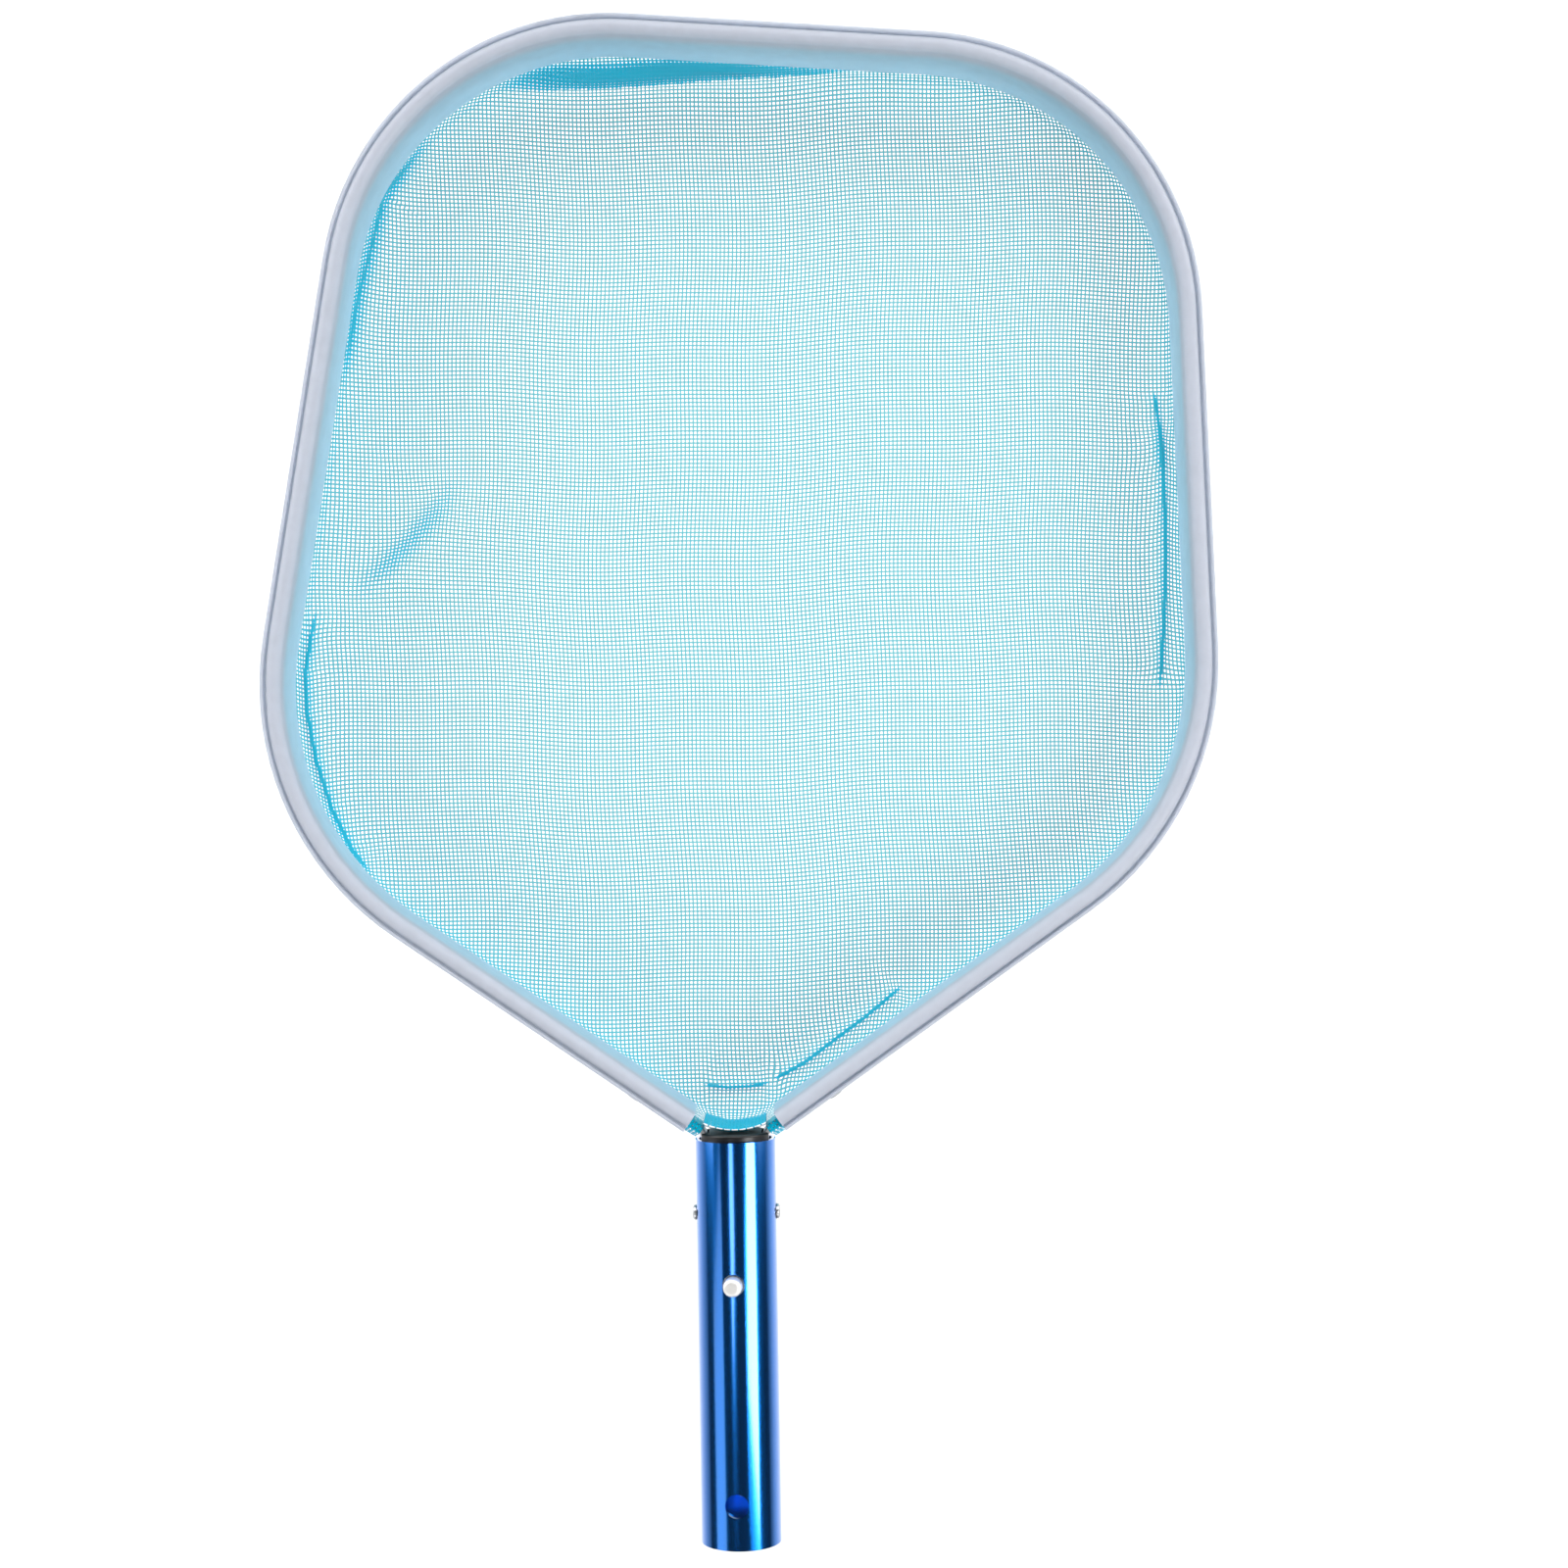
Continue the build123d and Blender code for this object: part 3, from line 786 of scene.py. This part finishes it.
@dataclass(frozen=True)
class Net:
    """Shallow bag of blue mesh, held all round between the profile's skirt and the bar.

    The wall goes down behind the skirt, turns under its edge and runs out into a slack floor.
    """

    hoop: Hoop
    top: float = 6.7
    wall_inset: float = 1.9
    wall_bottom: float = -21.2
    turn_inset: float = 5.5
    turn_bottom: float = -29.4
    turn_power: float = 1.4
    edge_inset: float = 15.0
    floor: float = -31.2
    floor_power: float = 1.25
    column_step: float = 1.45
    wall_rows: int = 16
    turn_rows: int = 12
    edge_rows: int = 14
    floor_rows: int = 40
    wall_crowd: float = 1.25
    edge_crowd: float = 0.12
    edge_reach: float = 45.0
    fold_reach: float = 9.0
    centre: tuple[float, float] = (8.0, 340.0)
    slack: float = 0.7
    slack_mean: float = 0.4
    slack_x: Wave = Wave(1.0, 31, 1.3)
    slack_y: Wave = Wave(1.0, 43, 0.4)
    weave_x: tuple[Wave, Wave] = (Wave(1.6, 47, 0.7), Wave(0.5, 13))
    weave_y: tuple[Wave, Wave] = (Wave(1.8, 39, 2.1), Wave(0.5, 11))
    creases: tuple[Crease, ...] = ()

    def section(self) -> tuple[Array, Array]:
        """Place the rows from the top edge to the floor's edge.

        Returns:
            The rows' insets and their heights.
        """
        turn = np.linspace(0, 1, self.turn_rows + 1)[1:]
        edge = np.linspace(0, 1, self.edge_rows + 1)[1:]
        wall = np.full(self.wall_rows, self.wall_inset)
        under = self.wall_inset + (self.turn_inset - self.wall_inset) * turn**self.turn_power
        out = self.turn_inset + (self.edge_inset - self.turn_inset) * edge
        down = np.linspace(self.top, self.wall_bottom, self.wall_rows)
        curl = self.wall_bottom + (self.turn_bottom - self.wall_bottom) * np.sin(turn * pi / 2)
        settle = self.turn_bottom + (self.floor - self.turn_bottom) * (1 - (1 - edge) ** 2)
        return np.concatenate([wall, under, out]), np.concatenate([down, curl, settle])

    def build(self) -> Piece:
        """Make the sheet as one polar grid, from its held edge in to the middle of the floor.

        The flat cloth keeps the floor as it is and lays the wall out round it at full length.

        Returns:
            The net's mesh object.
        """
        line = self.hoop.line(self.column_step)
        columns = len(line.points)
        inset, height = self.section()
        held = len(inset) * columns
        outer = np.stack([line.inset(i) for i in inset])
        centre = np.array(self.centre)
        share = np.linspace(0, 1, self.floor_rows + 1)[1:-1] ** self.floor_power
        inner = outer[-1] + (centre - outer[-1]) * share[:, None, None]
        plan = np.concatenate([outer, inner])
        rows = len(plan)
        xy = np.concatenate([plan.reshape(-1, 2), centre[None]])
        z = np.concatenate([np.repeat(height, columns), np.full(len(xy) - held, self.floor)])
        run = np.hypot(np.diff(inset), np.diff(height))
        from_floor = np.concatenate([np.cumsum(run[::-1])[::-1], [0.0]])
        laid = [(outer[-1] + line.outward * r).reshape(-1, 2) for r in from_floor]
        flat = np.concatenate([*laid, xy[held:]])
        steep = np.concatenate([run / np.maximum(np.abs(np.diff(inset)), 1e-6), [1.0]])
        wall = np.repeat(np.clip(steep, 1.0, self.wall_crowd), columns)
        crowd = np.concatenate([wall, np.ones(len(xy) - held)])
        on_floor = smoothstep((self.wall_bottom - z) / (self.wall_bottom - self.turn_bottom))
        reach = np.linalg.norm(xy - centre, axis=1)
        rim = np.tile(np.linalg.norm(outer[0] - centre, axis=1), rows)
        rim = np.concatenate([rim, [FAR_MM]])
        crowd += self.edge_crowd * np.exp(-(((rim - reach) / self.edge_reach) ** 2)) * on_floor
        fold, sharp = self.relax(xy, z, flat, crowd, on_floor)
        faces = grid_faces(rows, columns, False, True).tolist()
        ring = np.arange(columns)
        edge = (rows - 1) * columns
        fan = [edge + ring, edge + (ring + 1) % columns, np.full(columns, len(xy) - 1)]
        faces += np.stack(fan, axis=1).tolist()
        piece = new_piece("net_mesh", np.column_stack([xy, z]), faces)
        write_weave(piece, flat, crowd, fold, sharp)
        self.declare(piece)
        return piece

    def relax(
        self, xy: Array, z: Array, flat: Array, crowd: Array, on_floor: Array
    ) -> tuple[Array, Array]:
        """Fold the floor and let it hang slack, changing z, flat and crowd in place.

        Args:
            xy: Each vertex in plan.
            z: Each vertex's height.
            flat: Each vertex on the flat cloth.
            crowd: How many times closer than flat the threads lie.
            on_floor: 1 on the floor and 0 on the wall.

        Returns:
            Each vertex's distance from the nearest sharp fold, and how sharp that fold is.
        """
        fold, sharp = np.full(len(xy), self.fold_reach), np.zeros(len(xy))
        for crease in self.creases:
            rise, move, extra, off, keen = crease.apply(xy)
            z += rise * on_floor
            flat += move * on_floor[:, None]
            crowd += extra * on_floor
            nearer = (keen > 0) & (np.abs(off) < np.abs(fold))
            fold, sharp = np.where(nearer, off, fold), np.where(nearer, keen, sharp)
        x, y = xy.T
        slack = self.slack_x.at(x) * self.slack_y.at(y)
        z += self.slack * (slack + self.slack_mean) * on_floor
        flat[:, 0] += sum(wave.at(y) for wave in self.weave_x)
        flat[:, 1] += sum(wave.at(x) for wave in self.weave_y)
        return fold, sharp

    def declare(self, piece: Piece) -> None:
        """Ride the net on the head, hide the CAD net and give it its finish.

        Args:
            piece: The net.
        """
        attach(piece, HEAD)
        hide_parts("net")
        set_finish(piece, "blue_mesh")


@dataclass(frozen=True)
class Hem:
    """Doubled band of mesh across the mouth, with a stitched top and a tab round each bar end."""

    hoop: Hoop
    gap: float = 2.45
    fold: float = 0.25
    top: float = 7.2
    bottom: float = -19.8
    half_width: float = 12.6
    columns: int = 50
    rows: int = 24
    fold_steps: int = 7
    crowd: float = 2.0
    ripple: float = 0.12
    ripple_run: float = 1.9
    ripple_top: float = 4.0
    ripple_full: float = -4.0
    tab_first: float = 1.6
    tab_last: float = 6.6
    tab_top: float = 5.3
    tab_bottom: float = -7.0
    tab_off: float = 1.75
    tab_flare: float = 2.8
    tab_power: float = 1.5
    tab_crown: float = 0.6
    tab_sag: float = 1.2
    tab_columns: int = 12
    tab_rows: int = 8
    tab_steps: int = 9
    stitch_pitch: float = 3.0
    stitch_length: float = 2.4
    stitch_r: float = 0.24
    stitch_lift: float = 0.42
    stitch_twist: float = 9.0
    stitch_lobe: float = 0.12

    def cloth(
        self, name: str, line: Line, inset: Array, up: Array, wave: Array = ZERO, sag: Array = ZERO
    ) -> Piece:
        """Make one sheet of mesh from rows that follow a line.

        Args:
            name: The piece's name.
            line: The line that each row follows.
            inset: Each row's distance from the line.
            up: Each row's height.
            wave: What is added to the insets, as (rows, columns).
            sag: What is added to the heights, as (rows, columns).

        Returns:
            The sheet's mesh object.
        """
        plan = np.stack([line.inset(row) for row in inset[:, None] + wave])
        z = np.broadcast_to(up[:, None] + sag, plan.shape[:2])
        points = np.concatenate([plan, z[..., None]], axis=2).reshape(-1, 3)
        length = np.concatenate([[0.0], np.cumsum(np.hypot(np.diff(up), np.diff(inset)))])
        flat = np.stack(np.broadcast_arrays(line.run[None], length[:, None]), axis=2)
        faces = grid_faces(len(up), len(line.run), False, False).tolist()
        piece = new_piece(name, points, faces)
        write_weave(piece, flat.reshape(-1, 2), np.full(len(points), self.crowd))
        return piece

    def band(self) -> Piece:
        """Make the band: up the back, over a round fold and down the front, as one sheet.

        Returns:
            The band's mesh object.
        """
        line = self.mouth_line(self.columns)
        crest = self.top - self.fold
        height = np.linspace(self.bottom, crest, self.rows)
        bend = np.linspace(0, pi, self.fold_steps)[1:-1]
        up = np.concatenate([height, crest + self.fold * np.sin(bend), height[::-1]])
        middle = self.gap + self.fold
        back, front = np.full(self.rows, self.gap), np.full(self.rows, middle + self.fold)
        inset = np.concatenate([back, middle - self.fold * np.cos(bend), front])
        drop = (self.ripple_top - up[:, None]) / (self.ripple_top - self.ripple_full)
        wave = self.ripple * np.sin(line.run / self.ripple_run)[None] * smoothstep(drop)
        piece = self.cloth("net_hem_band", line, inset, up, wave=wave)
        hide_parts("net_hem")
        return piece

    def mouth_line(self, count: int) -> Line:
        """Sample the arc across the mouth.

        Args:
            count: How many points.

        Returns:
            The line, whose run is from the arc's middle.
        """
        radius = self.hoop.mouth_r
        reach = self.half_width / radius
        angle = np.linspace(-reach, reach, count)
        outward = np.stack([np.sin(angle), -np.cos(angle)], axis=1)
        centre = np.array([0.0, self.hoop.foot_y + radius / cos(self.hoop.slant)])
        return Line(centre + radius * outward, outward, angle * radius)

    def tab(self, side: Side) -> Piece:
        """Make the flap of mesh that goes over the bar beside the profile's cut end.

        Args:
            side: Which end of the profile.

        Returns:
            The tab's mesh object.
        """
        line = self.hoop.slant_line(side, self.tab_first, self.tab_last, self.tab_columns)
        bend = np.linspace(0, pi, self.tab_steps)
        down = np.linspace(0, 1, self.tab_rows)[1:]
        drop = self.tab_top + (self.tab_bottom - self.tab_top) * down
        inner = np.full(len(down), self.tab_off)
        outer = -self.tab_off - self.tab_flare * down**self.tab_power
        inset = np.concatenate([inner, self.tab_off * np.cos(bend), outer])
        up = np.concatenate([drop[::-1], self.tab_top + self.tab_crown * np.sin(bend), drop])
        share = np.linspace(0, 1, len(line.run))[None]
        sag = -self.tab_sag * smoothstep(-inset[:, None] / self.tab_off) * (1 - share)
        return self.cloth(f"net_tab_{side.name.lower()}", line, inset, up, sag=sag)

    def stitches(self) -> Piece:
        """Make the row of lockstitches over the band's folded top edge.

        Each stitch is a twisted round thread whose middle lifts off the cloth and whose ends dip
        into it: height = top + lift (1 - (2 t - 1)^4) for t from 0 to 1 along the stitch.

        Returns:
            The stitches' mesh object.
        """
        count = int(2 * self.half_width / self.stitch_pitch) + 1
        line = self.mouth_line(400)
        points, faces = [], []
        share = np.linspace(0, 1, 13)
        around = np.linspace(0, 2 * pi, 8, endpoint=False)
        ring = np.stack([np.cos(around), np.sin(around)], axis=1)
        twist = 2 * around[None] - self.stitch_twist * share[:, None]
        strand = 1 + self.stitch_lobe * np.cos(twist)
        section = self.stitch_r * strand[..., None] * ring[None]
        height = self.top - self.stitch_r + self.stitch_lift * (1 - (2 * share - 1) ** 4)
        half = self.stitch_length / 2
        for i in range(count):
            middle = (i - (count - 1) / 2) * self.stitch_pitch
            part = line.part(middle - half, middle + half, len(share))
            path = np.column_stack([part.inset(self.gap + self.fold), height])
            side = np.column_stack([part.outward, np.zeros(len(share))])
            up = np.broadcast_to([0.0, 0.0, 1.0], side.shape)
            added, ends = sweep_section(path, side, up, section)
            faces += [[i * len(added) + v for v in face] for face in ends]
            points.append(added)
        piece = new_piece("hem_stitch_row", np.concatenate(points), faces)
        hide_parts("hem_stitches")
        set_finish(piece, "white_thread")
        return piece

    def build(self) -> list[Piece]:
        """Make every piece of the hem and ride them on the head.

        Returns:
            The band, the two tabs and the stitches.
        """
        cloth = [self.band(), self.tab(Side.LEFT), self.tab(Side.RIGHT)]
        for piece in cloth:
            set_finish(piece, "blue_mesh")
        pieces = [*cloth, self.stitches()]
        for piece in pieces:
            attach(piece, HEAD)
        return pieces


@dataclass(frozen=True)
class EdgeCord:
    """Three-strand cord in the bead's channel, which locks the net's edge, in millimetres."""

    hoop: Hoop
    inset: float = 1.4
    height: float = 8.0
    radius: float = 1.1
    strands: int = 3
    lay: float = 7.0
    mean: float = 0.93
    lobe: float = 0.07
    sides: int = 15
    step: float = 1.2

    def build(self) -> Piece:
        """Sweep a three-lobed section that turns once in each lay's length.

        The section's radius is radius (mean + lobe cos(strands a - 2 pi s / lay)), for the angle
        a round it and the length s along the cord.

        Returns:
            The cord's mesh object.
        """
        line = self.hoop.line(self.step)
        keep = line.run <= line.run[-1] - 2 * self.hoop.slant * self.hoop.mouth_r + self.step
        line = Line(line.points[keep], line.outward[keep], line.run[keep])
        count = len(line.run)
        path = np.column_stack([line.inset(self.inset), np.full(count, self.height)])
        side = np.column_stack([line.outward, np.zeros(count)])
        up = np.broadcast_to([0.0, 0.0, 1.0], side.shape)
        around = np.linspace(0, -2 * pi, self.sides, endpoint=False)
        phase = self.strands * around[None] - 2 * pi * line.run[:, None] / self.lay
        radius = self.radius * (self.mean + self.lobe * np.cos(phase))
        ring = np.stack([np.cos(around), np.sin(around)], axis=1)
        points, faces = sweep_section(path, side, up, radius[..., None] * ring[None])
        piece = new_piece("edge_cord_twisted", points, faces)
        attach(piece, HEAD)
        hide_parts("edge_cord")
        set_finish(piece, "cord")
        return piece


# ---- clip spring ----


@dataclass(frozen=True)
class ClipSpring:
    """Bent strip inside the handle that pushes both snap buttons out, in millimetres.

    It is made as two halves that meet at the apex.
    """

    button_y: float
    roll: float
    seat: float = 11.3
    seat_half: float = 5.5
    apex_y: float = 26.9
    apex_z: float = 4.5
    apex_r: float = 2.9
    knee: float = 1.2
    width: float = 8.0
    thickness: float = 0.6
    pressed: float = 0.54

    def path(self) -> Array:
        """Lay out a half's middle line, from the seat's end to the apex.

        Returns:
            Its points, as (n, 2) of y and z.
        """
        bend_y, tip = self.seat_half, self.apex_y
        slope = atan2(self.seat - self.apex_z, tip - bend_y)
        turn = pi / 2 - slope
        tangent = self.apex_r * tan(turn / 2)
        leg_end = np.array([tip - tangent * cos(slope), self.apex_z + tangent * sin(slope)])
        angle = np.linspace(pi / 2 - slope, 0, 12)
        centre = np.array([tip - self.apex_r, self.apex_z - tangent])
        arc = centre + self.apex_r * np.stack([np.cos(angle), np.sin(angle)], axis=1)
        soft = np.linspace(-1, 1, 9)
        sunk = self.seat - tan(slope) * self.knee * (soft + 1) ** 2 / 4
        knee = np.column_stack([bend_y + self.knee * soft, sunk])
        seat = np.array([[-self.seat_half, self.seat], [0.0, self.seat]])
        return np.concatenate([seat, knee, leg_end[None], arc[1:], [[tip, 0.0]]])

    def half(self, face: Face) -> Piece:
        """Sweep the strip's section along one half.

        Args:
            face: Which button the half carries.

        Returns:
            The half's mesh object.
        """
        middle = self.path()
        along = np.gradient(middle, axis=0)
        along /= np.linalg.norm(along, axis=1, keepdims=True)
        zeros = np.zeros(len(middle))
        path = np.column_stack([zeros, middle])
        side = np.broadcast_to([1.0, 0.0, 0.0], path.shape)
        up = np.column_stack([zeros, -along[:, 1], along[:, 0]])
        x, z = self.width / 2, self.thickness / 2
        section = np.array([[-x, -z], [-x, z], [x, z], [x, -z]])
        points, faces = sweep_section(path, side, up, section)
        points[:, 2] *= face.value
        points[:, 0] *= face.value
        c, s = cos(self.roll), sin(self.roll)
        turn = np.array([[c, 0.0, -s], [0.0, 1.0, 0.0], [s, 0.0, c]])
        points = points @ turn.T + [0.0, self.button_y, 0.0]
        piece = new_piece(f"clip_spring_{face.name.lower()}", points, faces, smooth=False)
        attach(piece, HEAD)
        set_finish(piece, "spring_steel")
        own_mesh(piece)
        return piece

    def build(self) -> list[Piece]:
        """Make both halves, which stand for the CAD strip.

        Returns:
            The two halves.
        """
        halves = [self.half(face) for face in Face]
        for piece in halves:
            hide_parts("clip_spring")
        return halves


# ---- studio ----


@dataclass(frozen=True)
class SoftBox:
    """A rectangular studio light, in metres; radiance is its brightness to the eye."""

    name: str
    centre: tuple[float, float, float]
    aim: tuple[float, float, float]
    width: float
    length: float
    radiance: float

    def build(self) -> None:
        """Make the area light, its width level; that is along y when it hangs to one side."""
        lamp = bpy.data.lights.new(self.name, "AREA")
        lamp.shape = "RECTANGLE"
        lamp.size = self.width
        lamp.size_y = self.length
        lamp.energy = self.radiance * pi * self.width * self.length
        placed = bpy.data.objects.new(self.name, lamp)
        placed.location = self.centre
        towards = Vector(self.aim) - Vector(self.centre)
        placed.rotation_euler = towards.to_track_quat("-Z", "Y").to_euler()
        bpy.context.scene.collection.objects.link(placed)


@dataclass(frozen=True)
class Studio:
    """Pale backdrop, soft boxes and camera, in metres."""

    mouth_y: float
    camera_x: float = 0.0193
    camera_past_mouth: float = 0.1256
    camera_height: float = 0.886
    camera_roll_deg: float = -0.908
    half_view: float = 0.31496
    floor_z: float = -0.6
    floor_size: float = 16.0
    ambient: float = 0.04
    wash_out: float = 3.4
    wash_height: float = 2.4
    wash_size: float = 2.8
    wash_radiance: float = 1.7
    backdrop_colour: str = "#F4F4F4"

    def boxes(self) -> list[SoftBox]:
        """List the lights.

        The handle is a mirror that is curved in x only, so it shows what stands to its sides and
        almost nothing of the boxes beyond either end, which light the hoop and the backdrop.

        Returns:
            Every light.
        """
        target = (0.0, 0.25, 0.0)
        handle = (0.0, 0.07, 0.0)
        hung = [
            SoftBox("key_right", (1.1, -0.2, 1.16), handle, 0.4, 0.72, 15.0),
            SoftBox("strip_left", (-1.25, -0.46, 0.8), handle, 0.62, 0.8, 1.3),
            SoftBox("glint_left", (-0.27, -0.08, 1.2), handle, 0.2, 0.22, 5.0),
            SoftBox("far_end", (0.0, 2.4, 1.9), target, 2.2, 1.8, 3.1),
            SoftBox("near_end", (0.0, -2.2, 1.9), target, 2.6, 1.6, 1.8),
            SoftBox("far_left", (-2.0, 2.0, 0.9), target, 1.6, 1.6, 3.7),
            SoftBox("far_right", (2.0, 2.0, 0.9), target, 1.6, 1.6, 3.1),
            SoftBox("low_left", (-0.8, 0.45, 0.15), target, 0.9, 0.5, 2.2),
            SoftBox("low_right", (0.8, 0.45, 0.15), target, 0.9, 0.5, 1.2),
            SoftBox("low_far", (0.0, 1.25, 0.15), target, 0.9, 0.5, 1.2),
            SoftBox("low_near_left", (-0.6, -0.6, 0.15), target, 0.6, 0.5, 1.8),
            SoftBox("low_near_right", (0.6, -0.6, 0.15), target, 0.6, 0.5, 1.4),
        ]
        corners = [(x, y) for x in (-1, 1) for y in (-1, 1)]
        size = self.wash_size
        for i, (x, y) in enumerate(corners):
            over = (x * self.wash_out, y * self.wash_out, self.wash_height)
            under = (*over[:2], self.floor_z)
            hung.append(SoftBox(f"wash_{i}", over, under, size, size, self.wash_radiance))
        return hung

    def backdrop(self) -> None:
        """Make the pale floor, which isn't part of the object."""
        half = self.floor_size / 2 / MM
        z = self.floor_z / MM
        corners = np.array([[-half, -half, z], [half, -half, z], [half, half, z], [-half, half, z]])
        floor = new_piece("backdrop", corners, [[0, 1, 2, 3]], smooth=False)
        paper = MouldedPlastic("Matte white backdrop paper", self.backdrop_colour, 0.9)
        floor.data.materials.append(paper.material())

    def camera(self) -> None:
        """Make the camera, straight above the hoop and looking down."""
        data = bpy.data.cameras.new("camera")
        data.sensor_width = 36.0
        data.lens = data.sensor_width / 2 / self.half_view
        data.clip_start = 0.01
        camera = bpy.data.objects.new("camera", data)
        camera.location = (self.camera_x, self.mouth_y + self.camera_past_mouth, self.camera_height)
        camera.rotation_euler = (0.0, 0.0, radians(self.camera_roll_deg))
        bpy.context.scene.collection.objects.link(camera)
        bpy.context.scene.camera = camera

    def build(self) -> None:
        """Make the camera, the lights, the backdrop and the dim room."""
        self.camera()
        for box in self.boxes():
            box.build()
        self.backdrop()
        world = bpy.data.worlds.new("room")
        world.use_nodes = True
        level = (self.ambient,) * 3 + (1.0,)
        world.node_tree.nodes["Background"].inputs["Color"].default_value = level
        bpy.context.scene.world = world
        bpy.context.scene.view_settings.view_transform = "Standard"


# ---- assembly ----

CREASES = (
    Crease(
        ((-97.0, 386.0), (-104.0, 375.0), (-114.5, 362.5), (-125.0, 352.0), (-141.0, 339.0)),
        rise=1.4, width=3.4, gather=3.5, slip=2.5, crowd=0.65, pull=26.0, fade=0.4,
    ),
    Crease(
        ((159.3, 402.0), (160.6, 375.0), (160.9, 353.0), (160.0, 328.0), (158.0, 300.0)),
        gather=2.4, slip=2.6, crowd=0.6, sharp=1.0, fade=0.12,
    ),
    Crease(
        ((157.6, 412.0), (159.0, 398.0), (160.2, 380.0)), gather=1.0, crowd=0.4, sharp=0.6,
    ),
    Crease(
        (
            (-151.6, 336.0), (-155.6, 313.0), (-155.2, 297.0), (-152.3, 280.0),
            (-146.8, 262.0), (-139.5, 247.0), (-132.0, 237.0),
        ),
        gather=2.4, slip=-2.2, crowd=0.6, sharp=1.0, fade=0.12,
    ),
    Crease(
        ((62.0, 194.0), (47.5, 182.3), (36.0, 174.0), (25.0, 165.9), (13.0, 159.5)),
        gather=2.0, slip=2.0, crowd=0.3, sharp=1.0, fade=0.1,
    ),
    Crease(
        ((13.0, 158.8), (5.0, 157.6), (-3.0, 157.3), (-13.0, 158.6)),
        gather=1.2, slip=0.8, crowd=0.3, sharp=0.7,
    ),
    Crease(
        (
            (-100.0, 525.2), (-75.0, 525.0), (-49.0, 525.4), (-27.0, 526.2), (-6.0, 527.4),
            (16.0, 528.2), (41.0, 529.0), (60.0, 529.6), (92.0, 531.0),
        ),
        rise=1.0, gather=3.0, crowd=2.0, lap=4.5, fade=0.3,
    ),
    Crease(
        ((-104.0, 512.0), (-124.0, 486.0), (-134.0, 450.0), (-141.0, 414.0)),
        rise=1.0, width=2.6, gather=2.0, slip=2.0, crowd=0.8, sharp=0.3, pull=20.0, fade=0.25,
    ),
)


def dress_frame(materials: dict[str, bpy.types.Material]) -> None:
    """Give every CAD node the finish of its material slot.

    Args:
        materials: Material slot to material.
    """
    for part in frame["record"]["subparts"]:
        node = frame["nodes"][part["node"]]
        node.data.materials.clear()
        node.data.materials.append(materials[part["material_slot"]])
        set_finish(node, part["material_slot"])
        LOG.info("dressed %s in %s", part["node"], materials[part["material_slot"]].name)


def main() -> None:
    """Build the looks round the frame."""
    logging.basicConfig(level=logging.INFO, format="%(name)s: %(message)s")
    materials = {slot: finish.material() for slot, finish in FINISHES.items()}
    dress_frame(materials)
    mouth_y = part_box("handle_tube")[1].y
    hoop = Hoop(mouth_y / MM)
    low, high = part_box("snap_button_front")
    button = (low + high) / 2
    roll = radians(BUTTON_ROLL_DEG)
    pieces = Hem(hoop).build()
    pieces.append(Net(hoop, creases=CREASES).build())
    pieces.append(EdgeCord(hoop).build())
    pieces += ClipSpring(button.y / MM, roll).build()
    for piece in pieces:
        piece.data.materials.append(materials[piece["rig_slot"]])
        LOG.info("built %s: %d faces", piece.name, len(piece.data.polygons))
    Studio(mouth_y).build()


if __name__ == "__main__":
    main()
